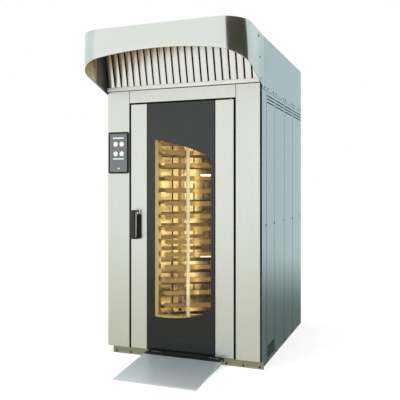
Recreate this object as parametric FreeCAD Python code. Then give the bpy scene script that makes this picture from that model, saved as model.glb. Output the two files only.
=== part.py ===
import FreeCAD, Part
import math
import os

# Pastry oven: a free-standing rotary rack oven with a steam hood over its door.
# Millimetres, +Z up, +X to the right of a person facing the door, the door looks along -Y.
# The origin lies on the floor in the middle of the cabinet's footprint.

Vector = FreeCAD.Vector
X_AXIS = Vector(1, 0, 0)
Y_AXIS = Vector(0, 1, 0)
Z_AXIS = Vector(0, 0, 1)

# Cabinet
cabinet_width = 1350.0
cabinet_depth = 1560.0
front_height = 2196.0
hood_height = 365.0
sheet = 2.0
liner = 2.0
post = 38.0
insulation_thickness = 85.0
base_sheet = 4.0
deck_sheet = 3.0
deck_drop = 96.0
side_seam_gap = 3.0
side_panel_depths = (140.0, 280.0, 364.0, 360.0)
upper_panel_drop = 44.0
left_panel_setback = 20.0
rear_panel_count = 3

# Front frame and plinth
plinth_height = 55.0
plinth_setback = 3.0
plinth_sheet = 3.0
plinth_left_inset = 52.0
plinth_right_reach = 14.0
left_groove = 10.0
right_groove = 15.0
left_pillar_width = 203.0
right_pillar_width = 194.0
pillar_depth = 90.0
header_height = 104.0
front_wall_sheet = 3.0
doorway_left_lap = 77.0
doorway_right_lap = 81.0
doorway_drop = 102.0
sill_wall = 3.0

# Vents and screws in the sides
vent_height = 9.0
vent_margin = 24.0
vent_drops = (30.0, 56.5, 83.0)
louvre_count = 5
louvre_height = 10.0
louvre_pitch = 20.0
louvre_lowest = 45.0
screw_radius = 5.5
screw_head = 1.5
screw_edge = 20.0
screw_pair = 96.0
seam_screw_height = 1097.0
plinth_screws_left = (33.0, 166.0)
plinth_screws_right = (31.0, 163.0, 298.0)
plinth_screw_height = 16.0
hood_screws = ((100.0, 33.0), (65.0, 188.0), (36.0, 343.0))

# Door
door_gap_left = 16.5
door_gap_right = 17.0
door_gap_top = 14.0
door_gap_bottom = 3.0
door_thickness = 80.0
door_sheet = 2.0
left_stile_width = 146.5
right_stile_width = 152.0
stile_seam = 1.0
outer_glass = 6.0
print_film = 1.0
window_left_inset = 75.0
window_right_inset = 38.0
window_bottom = 335.0
window_top_inset = 299.0
window_top_fall = 127.0
window_top_bulge = 15.0
window_corner_run = 45.0
window_corner_drop = 83.0
window_corner_bulge = 12.0
window_bottom_rise = 50.0
window_bottom_bulge = 22.0
window_low_corner_run = 60.0
window_low_corner_rise = 70.0
window_low_corner_bulge = 14.0
core_margin = 6.0
inner_frame_depth = 50.0
inner_frame_width = 45.0
inner_glass = 5.0
gasket_width = 25.0
gasket_offset = 8.0
seal_clearance = 0.4
pivot_side_inset = 30.0
pivot_front_inset = 25.0
pivot_radius = 8.0
pivot_depth = 42.0
pivot_lift = 1.5
pivot_collar = 14.0
pivot_hole_gap = 1.0
running_fit = 0.05

# Handle and catch
handle_bottom = 966.0
handle_height = 238.0
handle_inset = 77.5
handle_base_width = 32.0
handle_base_depth = 22.0
handle_cap_height = 34.0
grip_side_offset = 35.0
grip_stand_off = 70.0
grip_width = 40.0
grip_thickness = 20.0
grip_round = 8.0
arm_height = 40.0
arm_width = 24.0
spindle_radius = 6.0
spindle_stand_off = 14.0
lug_height = 20.0
lug_gap = 0.5
catch_roller_radius = 9.0
catch_roller_height = 24.0
catch_proud = 5.0
catch_setback = 40.0
catch_height = 1085.0
catch_housing = 52.0
keeper_sheet = 9.5
keeper_height = 120.0
keeper_width = 40.0

# Touch panel
panel_left_inset = 8.0
panel_width = 190.0
panel_bottom = 1506.0
panel_height = 348.0
panel_thickness = 9.0
panel_rim = 9.0
panel_corner = 14.0
panel_glass = 8.0
icon_radius = 20.0
icon_thickness = 0.8
icon_columns = (-26.0, 32.0)
icon_rows = (-8.0, 72.0)
icon_pocket_depth = 0.5
control_box_depth = 60.0
control_box_margin = 20.0

# Hood
hood_reach = 486.0
hood_corner = 200.0
hood_sheet = 2.0
hood_flange = 70.0
hood_side_bottom_drop = 20.0
hood_rise = 0.32
hood_top_rise = 0.055
hood_arch = 75.0
hood_cut_past = 20.0
filter_count = 22
filter_fin_width = 48.0
filter_fin_depth = 14.0
filter_rail = 16.0
filter_foot_reach = 16.0
filter_height = 312.0
filter_lean = 13.8
filter_left_inset = 32.0
filter_right_inset = 10.0
trough_reach = 30.0
trough_height = 30.0
trough_left_inset = 20.0
trough_right_inset = 15.0

# Chamber, turntable and rack
floor_drop = 8.0
floor_sheet = 3.0
chamber_front_room = 580.0
chamber_rear_room = 530.0
turntable_radius = 480.0
turntable_thickness = 6.0
turntable_lift = 3.0
turntable_gap = 4.0
floor_pin_radius = 15.0
floor_flange_radius = 60.0
rack_turn = 30.0
rack_length = 860.0
rack_width = 580.0
rack_post = 30.0
rack_post_offset = 232.0
rack_tube_wall = 2.0
rack_frame_height = 28.0
runner_pitch = 110.0
runner_web = 38.0
runner_flange = 34.0
runner_sheet = 2.0
runner_end_radius = 16.0
rack_head_room = 122.0
fork_bar_width = 40.0
fork_prong = 14.0
fork_clearance = 0.5
shaft_hole_gap = 3.0
fork_head = 24.0
fork_reach = 60.0
drive_radius = 20.0
bearing_flange = 55.0
bearing_flange_height = 14.0

# Castors
castor_length_offset = 350.0
castor_width_offset = 225.0
castor_plate = 80.0
castor_plate_thickness = 5.0
castor_gap = 1.0
castor_head = 6.0
castor_cheek = 4.0
castor_crown = 10.0
castor_trail = 30.0
castor_stem_radius = 8.0
wheel_radius = 50.0
wheel_width = 30.0
wheel_side_gap = 1.5
wheel_floor_gap = 0.3
axle_radius = 6.0

# Hot-air, steam and drive machinery
air_wall_sheet = 2.0
air_slot_width = 14.0
air_slot_height = 300.0
air_slot_columns = 8
air_slot_rows = 4
air_column_width = 90.0
air_column_depth = 160.0
air_column_slot = 18.0
air_column_lead = 15.0
air_column_margin = 60.0
fan_radius = 100.0
fan_height = 70.0
fan_hub_radius = 22.0
fan_blade_count = 12
fan_blade_length = 42.0
fan_plate = 3.0
fan_drop = 30.0
fan_shaft_radius = 12.0
fan_motor_radius = 80.0
fan_motor_height = 210.0
heater_count = 6
heater_radius = 6.0
heater_bend = 26.0
heater_pitch = 64.0
heater_top = 1500.0
heater_length = 800.0
heater_tail = 40.0
heater_bracket = 6.0
heater_side_inset = 88.0
heater_hole_gap = 0.1
cascade_count = 8
cascade_pitch = 90.0
cascade_bottom = 500.0
cascade_side_inset = 108.0
cascade_length = 360.0
cascade_depth = 70.0
cascade_wall_height = 30.0
cascade_sheet = 3.0
pipe_radius = 8.0
pipe_hole_gap = 0.3
valve_size = 60.0
valve_height = 90.0
valve_coil_share = 0.7
inlet_radius = 13.2
inlet_length = 30.0
duct_radius = 75.0
duct_wall = 2.0
duct_side_inset = 275.0
spigot_height = 70.0
stop_groove_height = 5.0
stop_groove_depth = 0.8
damper_gap = 1.0
damper_plate = 2.0
damper_spindle = 5.0
damper_height = 260.0
actuator_size = 80.0
gearbox_width = 180.0
gearbox_height = 150.0
rack_motor_radius = 60.0
rack_motor_length = 200.0
bulkhead_setback = 300.0
hood_fan_side_inset = 345.0
hood_fan_radius = 150.0
hood_fan_gap = 14.0
hood_fan_depth = 120.0
hood_fan_hub = 25.0
hood_fan_blades = 10
hood_fan_inlet = 120.0
hood_motor_radius = 60.0
hood_motor_length = 140.0
hood_outlet_radius = 70.0
electrics_width = 260.0
electrics_depth = 320.0
electrics_height = 240.0
electrics_side_inset = 75.0
electrics_y = -380.0
gland_radius = 20.0
gland_nut = 27.0
gland_reach = 28.0
lamp_width = 60.0
lamp_depth = 36.0
lamp_height = 420.0
lamp_heights = (700.0, 1350.0)
lamp_tube_radius = 13.0
lamp_offset = 14.0
probe_radius = 4.0
probe_length = 90.0
probe_height = 1500.0

# Ramp
ramp_width = 656.0
ramp_center = 40.0
ramp_reach = 601.0
ramp_plate_thickness = 4.0
ramp_tip_thickness = 1.5
ramp_cheek = 4.0
ramp_cheek_inset = 14.0
ramp_rod_radius = 6.0
ramp_sleeve_wall = 3.0
ramp_sleeve_length = 80.0
ramp_sleeve_inset = 40.0
ramp_axis_reach = 14.0
ramp_top_drop = 3.0
ramp_lug = 8.0
ramp_lug_gap = 1.0

# Places worked out from the sizes above
half_width = cabinet_width / 2
half_depth = cabinet_depth / 2
face_y = -half_depth
roof_top = front_height + hood_height
inner_half_width = half_width - sheet
rear_y = half_depth - sheet
left_edge = -half_width + left_groove
right_edge = half_width - right_groove
left_jamb = left_edge + left_pillar_width
base_left = left_edge + plinth_left_inset
right_jamb = right_edge - right_pillar_width
header_bottom = front_height - header_height
jamb_y = face_y + pillar_depth
chamber_front = jamb_y + front_wall_sheet
plinth_y = face_y + plinth_setback
sill_y = plinth_y + plinth_sheet
deck_top = front_height - deck_drop
deck_bottom = deck_top - deck_sheet
ceiling_top = deck_bottom - insulation_thickness
ceiling = ceiling_top - liner
floor_top = plinth_height - floor_drop
floor_bottom = floor_top - floor_sheet
insulation_half = inner_half_width - post
liner_half = insulation_half - insulation_thickness
chamber_half = liner_half - liner
rear_insulation_y = rear_y - post
rear_liner_y = rear_insulation_y - insulation_thickness
plenum_rear = rear_liner_y - liner
rack_y = chamber_front + chamber_front_room
air_wall_y = rack_y + chamber_rear_room
plenum_y = (air_wall_y + air_wall_sheet + plenum_rear) / 2
upper_panel_bottom = front_height - upper_panel_drop
roof_bottom = roof_top - sheet
filter_left = -half_width + filter_left_inset
filter_right = half_width - filter_right_inset
doorway_top = header_bottom - doorway_drop
doorway_left = left_jamb + doorway_left_lap
doorway_right = right_jamb - doorway_right_lap

door_left = left_jamb + door_gap_left
door_right = right_jamb - door_gap_right
door_bottom = plinth_height + door_gap_bottom
door_top = header_bottom - door_gap_top
door_back = face_y + door_thickness
glass_left = door_left + left_stile_width
glass_right = door_right - right_stile_width
window_left = glass_left + window_left_inset
window_right = glass_right - window_right_inset
window_top = door_top - window_top_inset
pivot_x = door_right - pivot_side_inset
pivot_y = face_y + pivot_front_inset
catch_x = door_left + catch_roller_radius - catch_proud
catch_y = face_y + catch_setback
handle_x = door_left + handle_inset
handle_base_y = face_y - handle_base_depth
spindle_y = handle_base_y - spindle_stand_off

turntable_bottom = floor_top + turntable_lift
turntable_top = turntable_bottom + turntable_thickness
bulkhead_y = face_y + bulkhead_setback
hood_fan_y = bulkhead_y + sheet
hood_fan_drum = hood_fan_radius + hood_fan_gap
hood_fan_z = deck_top + hood_fan_drum + duct_wall
hood_outlet_y = hood_fan_y + hood_fan_depth / 2 + hood_fan_gap
damper_z = deck_top + damper_height
open_left = window_left - core_margin
open_right = window_right + core_margin
open_bottom = window_bottom - core_margin
open_top = window_top + core_margin
heater_left = -chamber_half + heater_side_inset
cascade_left = chamber_half - cascade_side_inset - cascade_length
duct_x = -half_width + duct_side_inset
hood_fan_x = half_width - hood_fan_side_inset
electrics_x = -half_width + electrics_side_inset
water_x = cascade_left + cascade_length / 2
valve_z = upper_panel_bottom + valve_height
gland_x = electrics_x + electrics_width / 2
gland_z = valve_z

def box(x0, x1, y0, y1, z0, z1):
    return Part.makeBox(x1 - x0, y1 - y0, z1 - z0, Vector(x0, y0, z0))


def rod(radius, start, direction, length):
    return Part.makeCylinder(radius, length, start, direction)


def tube(outer, inner, start, direction, length):
    return rod(outer, start, direction, length).cut(rod(inner, start, direction, length))


def prism(points, direction):
    return Part.Face(Part.makePolygon(points + points[:1])).extrude(direction)


def group(solids):
    return Part.makeCompound(solids)


def fused(solids):
    return solids[0].multiFuse(solids[1:]).removeSplitter()


def tray(x0, x1, y0, y1, z0, z1, wall):
    # A folded pan, open at its back
    outer = box(x0, x1, y0, y1, z0, z1)
    return outer.cut(box(x0 + wall, x1 - wall, y0 + wall, y1, z0 + wall, z1 - wall))


def channel(x0, x1, y0, y1, z0, z1, wall):
    # A folded upright channel, open at its back and at both ends
    outer = box(x0, x1, y0, y1, z0, z1)
    return outer.cut(box(x0 + wall, x1 - wall, y0 + wall, y1, z0, z1))


# Base, frame and front of the cabinet

def base_plate():
    return box(base_left, inner_half_width, sill_y, rear_y, 0, base_sheet)


def left_ledge():
    # A folded strip that carries the left posts outside the base's set-back left edge
    wall = box(base_left, base_left + base_sheet, jamb_y, rear_y, base_sheet, plinth_height)
    shelf = box(-inner_half_width, base_left, jamb_y, rear_y, plinth_height - base_sheet, plinth_height)
    return fused([wall, shelf])


def foot_height(side):
    # The left side stands on the ledge, clear of the floor, and the right side reaches the floor
    return plinth_height if side < 0 else 0.0


def side_seams():
    # Distances of the upright seams behind the front, with the rear edge last
    seams = []
    depth = 0.0
    for width in side_panel_depths:
        depth += width
        seams.append(depth)
    return seams + [cabinet_depth]


def frame_posts():
    posts = []
    for side in (-1, 1):
        x = side * (inner_half_width - post / 2)
        foot = max(foot_height(side), base_sheet)
        for seam in side_seams():
            y = min(face_y + seam, rear_y - post / 2)
            posts.append(box(x - post / 2, x + post / 2, y - post / 2, y + post / 2, foot, deck_bottom))
    return group(posts)


def upper_posts():
    posts = []
    for side in (-1, 1):
        x = side * (inner_half_width - post / 2)
        for y in (jamb_y + post / 2, 0.0, rear_y - post / 2):
            posts.append(box(x - post / 2, x + post / 2, y - post / 2, y + post / 2, deck_top, roof_bottom))
    return group(posts)


def plinth():
    return box(base_left, half_width + plinth_right_reach, plinth_y, sill_y, 0, plinth_height)


def sill_beam():
    outer = box(left_jamb, right_jamb, sill_y, chamber_front, base_sheet, plinth_height)
    inner = box(left_jamb, right_jamb, sill_y + sill_wall, chamber_front - sill_wall,
                base_sheet + sill_wall, plinth_height - sill_wall)
    beam = outer.cut(inner)
    return beam.cut(rod(pivot_radius, Vector(pivot_x, pivot_y, base_sheet), Z_AXIS, plinth_height))


def left_pillar():
    return channel(left_edge, left_jamb, face_y, jamb_y, plinth_height, front_height, sheet)


def right_pillar():
    return channel(right_jamb, right_edge, face_y, jamb_y, plinth_height, front_height, sheet)


def header_panel():
    outer = box(left_jamb, right_jamb, face_y, jamb_y, header_bottom, front_height)
    inner = box(left_jamb, right_jamb, face_y + sheet, jamb_y, header_bottom + sheet, front_height - sheet)
    panel = outer.cut(inner)
    return panel.cut(rod(pivot_radius, Vector(pivot_x, pivot_y, header_bottom), Z_AXIS, sheet))


def front_wall():
    left = box(-inner_half_width, doorway_left, jamb_y, chamber_front, plinth_height, deck_bottom)
    right = box(doorway_right, inner_half_width, jamb_y, chamber_front, plinth_height, deck_bottom)
    top = box(doorway_left, doorway_right, jamb_y, chamber_front, doorway_top, deck_bottom)
    return group([left, right, top])


def panel_vents(x0, x1, y0, y1):
    # One slot a row in each panel, in three rows under the panel's top edge
    return [box(x0, x1, y0 + vent_margin, y1 - vent_margin, upper_panel_bottom - drop - vent_height,
                upper_panel_bottom - drop) for drop in vent_drops]


def panel_louvres(x0, x1, y0, y1, lowest):
    return [box(x0, x1, y0 + vent_margin, y1 - vent_margin, lowest + row * louvre_pitch,
                lowest + row * louvre_pitch + louvre_height) for row in range(louvre_count)]


def panel_setback(side):
    # The left panels start behind the pillar's fold, and the right ones behind the plinth's sheet
    return left_panel_setback if side < 0 else plinth_setback + plinth_sheet


def side_panels(side):
    x0, x1 = sorted((side * inner_half_width, side * half_width))
    foot = foot_height(side)
    panels = []
    start = panel_setback(side)
    for column, seam in enumerate(side_seams()):
        y0 = face_y + start
        y1 = face_y + seam - (side_seam_gap if seam < cabinet_depth else 0.0)
        panel = box(x0, x1, y0, y1, foot, upper_panel_bottom - side_seam_gap)
        cuts = panel_vents(x0, x1, y0, y1) if column > 0 else []
        if column == 1:
            cuts = cuts + panel_louvres(x0, x1, y0, y1, foot + louvre_lowest)
        panels.append(panel.cut(group(cuts)) if cuts else panel)
        start = seam
    return group(panels)


def upper_side_panel(side):
    x0, x1 = sorted((side * inner_half_width, side * half_width))
    return box(x0, x1, face_y + panel_setback(side), half_depth, upper_panel_bottom, roof_bottom)


def rear_panels():
    width = 2 * inner_half_width / rear_panel_count
    panels = []
    for number in range(rear_panel_count):
        x0 = -inner_half_width + number * width
        x1 = x0 + width - (side_seam_gap if number < rear_panel_count - 1 else 0.0)
        panels.append(box(x0, x1, rear_y, half_depth, 0, upper_panel_bottom - side_seam_gap))
    return group(panels)


def upper_rear_panel():
    panel = box(-inner_half_width, inner_half_width, rear_y, half_depth, upper_panel_bottom, roof_bottom)
    holes = [rod(inlet_radius, Vector(water_x, rear_y, valve_z), Y_AXIS, sheet),
             rod(gland_radius, Vector(gland_x, rear_y, gland_z), Y_AXIS, sheet)]
    return panel.cut(group(holes))


def roof_panel():
    panel = box(-half_width, half_width, face_y, half_depth, roof_bottom, roof_top)
    holes = [rod(duct_radius, Vector(duct_x, plenum_y, roof_bottom), Z_AXIS, sheet),
             rod(hood_outlet_radius, Vector(hood_fan_x, hood_outlet_y, roof_bottom), Z_AXIS, sheet)]
    return panel.cut(group(holes))


def machine_deck():
    deck = box(-inner_half_width, inner_half_width, jamb_y, rear_y, deck_bottom, deck_top)
    holes = [rod(drive_radius + running_fit, Vector(0, rack_y, deck_bottom), Z_AXIS, deck_sheet),
             rod(fan_shaft_radius + running_fit, Vector(0, plenum_y, deck_bottom), Z_AXIS, deck_sheet),
             rod(duct_radius, Vector(duct_x, plenum_y, deck_bottom), Z_AXIS, deck_sheet),
             rod(pipe_radius + pipe_hole_gap, Vector(water_x, plenum_y, deck_bottom), Z_AXIS, deck_sheet)]
    return deck.cut(group(holes))


def lower_pivot():
    pin = rod(pivot_radius, Vector(pivot_x, pivot_y, base_sheet), Z_AXIS,
              door_bottom + pivot_depth - base_sheet)
    collar = rod(pivot_collar, Vector(pivot_x, pivot_y, plinth_height), Z_AXIS, pivot_lift)
    return fused([pin, collar])


def upper_pivot():
    bottom = door_top - pivot_depth
    pin = rod(pivot_radius, Vector(pivot_x, pivot_y, bottom), Z_AXIS, header_bottom + sheet - bottom)
    head = rod(pivot_collar, Vector(pivot_x, pivot_y, header_bottom + sheet), Z_AXIS, pivot_collar)
    return fused([pin, head])


def keeper():
    return box(left_jamb, left_jamb + keeper_sheet, catch_y - keeper_width / 2, catch_y + keeper_width / 2,
               catch_height - keeper_height / 2, catch_height + keeper_height / 2)


# Lined and insulated chamber

def chamber_floor():
    return box(-liner_half, liner_half, chamber_front, rear_liner_y, floor_bottom, floor_top)


def chamber_liner():
    left = box(-liner_half, -chamber_half, chamber_front, rear_liner_y, floor_top, ceiling)
    right = box(chamber_half, liner_half, chamber_front, rear_liner_y, floor_top, ceiling)
    rear = box(-chamber_half, chamber_half, plenum_rear, rear_liner_y, floor_top, ceiling)
    top = box(-liner_half, liner_half, chamber_front, rear_liner_y, ceiling, ceiling_top)
    return group([left, right, rear, top.cut(group(ceiling_holes(ceiling, liner)))])


def ceiling_holes(bottom, height):
    # The shafts, the exhaust duct and the water pipe pass through the top of the chamber
    return [rod(drive_radius + shaft_hole_gap, Vector(0, rack_y, bottom), Z_AXIS, height),
            rod(fan_shaft_radius + shaft_hole_gap, Vector(0, plenum_y, bottom), Z_AXIS, height),
            rod(duct_radius, Vector(duct_x, plenum_y, bottom), Z_AXIS, height),
            rod(pipe_radius + pipe_hole_gap, Vector(water_x, plenum_y, bottom), Z_AXIS, height)]


def insulation():
    left = box(-insulation_half, -liner_half, chamber_front, rear_insulation_y, plinth_height, ceiling_top)
    right = box(liner_half, insulation_half, chamber_front, rear_insulation_y, base_sheet, ceiling_top)
    rear = box(-liner_half, liner_half, rear_liner_y, rear_insulation_y, base_sheet, ceiling_top)
    floor = box(-liner_half, liner_half, chamber_front, rear_liner_y, base_sheet, floor_bottom)
    top = box(-insulation_half, insulation_half, chamber_front, rear_insulation_y, ceiling_top, deck_bottom)
    return group([left, right, rear, floor, top.cut(group(ceiling_holes(ceiling_top, insulation_thickness)))])


def threshold_plate():
    plate = box(doorway_left, doorway_right, chamber_front, rack_y, floor_top, plinth_height)
    return plate.cut(rod(turntable_radius + turntable_gap, Vector(0, rack_y, floor_top), Z_AXIS, floor_drop))


def air_wall():
    # An upright sheet across the chamber with columns of air slots
    wall = box(-chamber_half, chamber_half, air_wall_y, air_wall_y + air_wall_sheet, floor_top, ceiling)
    pitch_x = 2 * (chamber_half - air_column_width) / (air_slot_columns + 1)
    pitch_z = (ceiling - floor_top) / air_slot_rows
    slots = []
    for column in range(air_slot_columns):
        x = -chamber_half + air_column_width + (column + 1) * pitch_x
        for row in range(air_slot_rows):
            z = floor_top + (row + 0.5) * pitch_z
            slots.append(box(x - air_slot_width / 2, x + air_slot_width / 2, air_wall_y,
                             air_wall_y + air_wall_sheet, z - air_slot_height / 2, z + air_slot_height / 2))
    return wall.cut(group(slots))


def air_column(side):
    # A slanting corner sheet with one tall slot that blows air at the rack
    near = Vector(side * chamber_half, air_wall_y - air_column_depth, floor_top)
    far = Vector(side * (chamber_half - air_column_width), air_wall_y, floor_top)
    along = far.sub(near)
    along.normalize()
    inward = Vector(-side * along.y, side * along.x, 0).multiply(-liner)
    height = ceiling - floor_top
    outline = [near, far, far.add(inward), near.add(inward)]
    low = air_column_margin
    cut_start = near.add(Vector(along).multiply(air_column_lead)).add(Vector(0, 0, low))
    slot_side = Vector(along).multiply(air_column_slot)
    slot = [cut_start, cut_start.add(slot_side), cut_start.add(slot_side).add(inward), cut_start.add(inward)]
    sheet_solid = prism(outline, Vector(0, 0, height))
    room = box(-chamber_half, chamber_half, chamber_front, air_wall_y, floor_top, ceiling)
    return sheet_solid.cut(prism(slot, Vector(0, 0, height - 2 * low))).common(room)


def air_columns():
    return group([air_column(-1), air_column(1)])


# Hot-air, steam and drive machinery

def bladed_wheel(radius, height, hub, count, blade_length):
    # A centrifugal wheel about Z: back plate on top, blades under it, a ring below them
    plate = rod(radius, Vector(0, 0, height - fan_plate), Z_AXIS, fan_plate)
    core = rod(hub, Vector(0, 0, 0), Z_AXIS, height)
    ring = tube(radius, radius - blade_length / 2, Vector(0, 0, 0), Z_AXIS, fan_plate)
    pieces = [plate, core, ring]
    for number in range(count):
        blade = box(radius - blade_length, radius - fan_plate, -fan_plate / 2, fan_plate / 2, 0, height)
        blade.rotate(Vector(0, 0, 0), Z_AXIS, number * 360.0 / count)
        pieces.append(blade)
    return fused(pieces)


def fan_impeller():
    wheel = bladed_wheel(fan_radius, fan_height, fan_hub_radius, fan_blade_count, fan_blade_length)
    wheel.translate(Vector(0, plenum_y, ceiling - fan_drop - fan_height))
    return wheel


def fan_shaft():
    bottom = ceiling - fan_drop
    top = deck_top + fan_motor_height / 2
    return rod(fan_shaft_radius, Vector(0, plenum_y, bottom), Z_AXIS, top - bottom)


def fan_motor():
    body = rod(fan_motor_radius, Vector(0, plenum_y, deck_top), Z_AXIS, fan_motor_height)
    return body.cut(rod(fan_shaft_radius + running_fit, Vector(0, plenum_y, deck_top), Z_AXIS,
                        fan_motor_height / 2))


def heater_places():
    return [heater_left + number * heater_pitch for number in range(heater_count)]


def heater_hairpin(x):
    # Two upright legs joined by a half-round bend at the bottom
    low = heater_top - heater_length
    y = plenum_y
    left = Vector(x - heater_bend / 2, y, low)
    right = Vector(x + heater_bend / 2, y, low)
    leg = heater_length + heater_tail
    ring = Part.makeTorus(heater_bend / 2, heater_radius, Vector(x, y, low), Y_AXIS)
    reach = heater_bend + heater_radius
    half = ring.common(box(x - reach, x + reach, y - reach, y + reach, low - reach, low))
    return fused([rod(heater_radius, left, Z_AXIS, leg), half, rod(heater_radius, right, Z_AXIS, leg)])


def heating_elements():
    return group([heater_hairpin(x) for x in heater_places()])


def heater_shelf():
    # A shelf on the rear liner that holds the heaters' upper ends
    places = heater_places()
    margin = heater_pitch / 2
    shelf = box(places[0] - margin, places[-1] + margin, plenum_y - margin, plenum_rear,
                heater_top, heater_top + heater_bracket)
    holes = []
    for x in places:
        for side in (-1, 1):
            foot = Vector(x + side * heater_bend / 2, plenum_y, heater_top)
            holes.append(rod(heater_radius + heater_hole_gap, foot, Z_AXIS, heater_bracket))
    return shelf.cut(group(holes))


def steam_cascade():
    # A stack of open steel channels on two side plates: water runs down them and turns to steam
    y0 = plenum_rear - cascade_depth
    right = cascade_left + cascade_length
    top = cascade_bottom + cascade_count * cascade_pitch
    plates = [box(cascade_left - cascade_sheet, cascade_left, y0, plenum_rear, cascade_bottom, top),
              box(right, right + cascade_sheet, y0, plenum_rear, cascade_bottom, top)]
    for number in range(cascade_count):
        z = cascade_bottom + number * cascade_pitch
        outer = box(cascade_left, right, y0, plenum_rear, z, z + cascade_wall_height)
        inner = box(cascade_left, right, y0 + cascade_sheet, plenum_rear - cascade_sheet, z + cascade_sheet,
                    z + cascade_wall_height)
        plates.append(outer.cut(inner))
    return group(plates)


def stop_groove(radius, start, direction):
    # Where a pipe pushed over a spigot ends, just clear of the sheet behind it
    return tube(radius, radius - stop_groove_depth, start, direction, stop_groove_height)


def water_pipe():
    bottom = cascade_bottom + cascade_count * cascade_pitch
    start = Vector(water_x, plenum_y, bottom)
    elbow = Vector(water_x, plenum_y, valve_z)
    upright = rod(pipe_radius, start, Z_AXIS, valve_z - bottom)
    run = rod(pipe_radius, elbow, Y_AXIS, rear_y - inlet_length - valve_size - plenum_y)
    return fused([upright, Part.makeSphere(pipe_radius, elbow), run])


def water_valve():
    back = rear_y - inlet_length
    half = valve_size / 2
    body = box(water_x - half, water_x + half, back - valve_size, back, valve_z - half, valve_z + half)
    coil = rod(half * valve_coil_share, Vector(water_x, back - half, valve_z + half), Z_AXIS,
               valve_height - valve_size)
    spout = tube(inlet_radius, pipe_radius, Vector(water_x, back, valve_z), Y_AXIS, 2 * inlet_length + sheet)
    groove = stop_groove(inlet_radius, Vector(water_x, half_depth, valve_z), Y_AXIS)
    return fused([body, coil, spout.cut(groove)])


def exhaust_duct():
    duct = tube(duct_radius, duct_radius - duct_wall, Vector(duct_x, plenum_y, ceiling), Z_AXIS,
                roof_top + spigot_height - ceiling)
    spindle = rod(damper_spindle + running_fit, Vector(duct_x - duct_radius, plenum_y, damper_z), X_AXIS,
                  2 * duct_radius)
    return duct.cut(spindle).cut(stop_groove(duct_radius, Vector(duct_x, plenum_y, roof_top), Z_AXIS))


def damper_flap():
    inner = duct_radius - duct_wall - damper_gap
    disc = rod(inner, Vector(duct_x, plenum_y, damper_z - damper_plate / 2), Z_AXIS, damper_plate)
    start = Vector(duct_x - duct_radius - damper_gap, plenum_y, damper_z)
    spindle = rod(damper_spindle, start, X_AXIS, 2 * duct_radius + damper_gap + actuator_size / 2)
    return fused([disc, spindle])


def damper_actuator():
    x0 = duct_x + duct_radius
    half = actuator_size / 2
    body = box(x0, x0 + actuator_size, plenum_y - half, plenum_y + half, damper_z - half, damper_z + half)
    return body.cut(rod(damper_spindle + running_fit, Vector(x0, plenum_y, damper_z), X_AXIS,
                        actuator_size / 2 + damper_gap))


def rack_gearbox():
    half = gearbox_width / 2
    bottom = deck_top + bearing_flange_height
    body = box(-half, half, rack_y - half, rack_y + half, bottom, bottom + gearbox_height)
    return body.cut(rod(drive_radius + running_fit, Vector(0, rack_y, bottom), Z_AXIS, gearbox_height))


def rack_motor():
    z = deck_top + bearing_flange_height + gearbox_height / 2
    return rod(rack_motor_radius, Vector(gearbox_width / 2, rack_y, z), X_AXIS, rack_motor_length)


def shaft_bearing():
    return tube(bearing_flange, drive_radius + running_fit, Vector(0, rack_y, deck_top), Z_AXIS,
                bearing_flange_height)


def floor_bearing():
    flange = rod(floor_flange_radius, Vector(0, rack_y, floor_top), Z_AXIS, turntable_lift)
    pin = rod(floor_pin_radius, Vector(0, rack_y, floor_top), Z_AXIS, turntable_lift + turntable_thickness)
    return fused([flange, pin])


def electrics_box():
    return box(electrics_x, electrics_x + electrics_width, electrics_y, electrics_y + electrics_depth,
               deck_top, deck_top + electrics_height)


def cable_gland():
    inner = rod(gland_radius, Vector(gland_x, rear_y, gland_z), Y_AXIS, sheet)
    nut = rod(gland_nut, Vector(gland_x, half_depth, gland_z), Y_AXIS, gland_reach)
    return fused([inner, nut])


def lamp_place():
    # The lamps stand in the right front corner, outside the rack's turning circle
    return Vector(chamber_half - lamp_depth, chamber_front + lamp_offset, 0)


def lamp_housings():
    foot = lamp_place()
    boxes = []
    for z in lamp_heights:
        outer = box(foot.x, chamber_half, foot.y, foot.y + lamp_width, z, z + lamp_height)
        inner = box(foot.x, chamber_half - sheet, foot.y + sheet, foot.y + lamp_width - sheet, z + sheet,
                    z + lamp_height - sheet)
        boxes.append(outer.cut(inner))
    return group(boxes)


def lamp_tubes():
    foot = lamp_place()
    middle = Vector(foot.x + lamp_depth / 2, foot.y + lamp_width / 2, 0)
    return group([rod(lamp_tube_radius, middle.add(Vector(0, 0, z + sheet)), Z_AXIS, lamp_height - 2 * sheet)
                  for z in lamp_heights])


def temperature_probe():
    y = air_wall_y - air_column_depth - probe_length
    return rod(probe_radius, Vector(-chamber_half, y, probe_height), X_AXIS, probe_length)


def plenum_bulkhead():
    wall = box(-inner_half_width, inner_half_width, bulkhead_y, hood_fan_y, deck_top, roof_bottom)
    return wall.cut(rod(hood_fan_inlet, Vector(hood_fan_x, bulkhead_y, hood_fan_z), Y_AXIS, sheet))


def hood_fan_length():
    return hood_fan_depth + 2 * hood_fan_gap


def hood_fan_housing():
    middle = Vector(hood_fan_x, hood_fan_y, hood_fan_z)
    riser = Vector(hood_fan_x, hood_outlet_y, hood_fan_z)
    rise = roof_top + spigot_height - hood_fan_z
    length = hood_fan_length()
    outer = rod(hood_fan_drum + duct_wall, middle, Y_AXIS, length)
    outer = outer.fuse(rod(hood_outlet_radius, riser, Z_AXIS, rise))
    inner = rod(hood_fan_drum, middle, Y_AXIS, length - duct_wall)
    inner = inner.fuse(rod(hood_outlet_radius - duct_wall, riser, Z_AXIS, rise))
    groove = stop_groove(hood_outlet_radius, Vector(hood_fan_x, hood_outlet_y, roof_top), Z_AXIS)
    return outer.cut(inner).cut(rod(fan_shaft_radius + running_fit, middle, Y_AXIS, length)).cut(groove)


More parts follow.
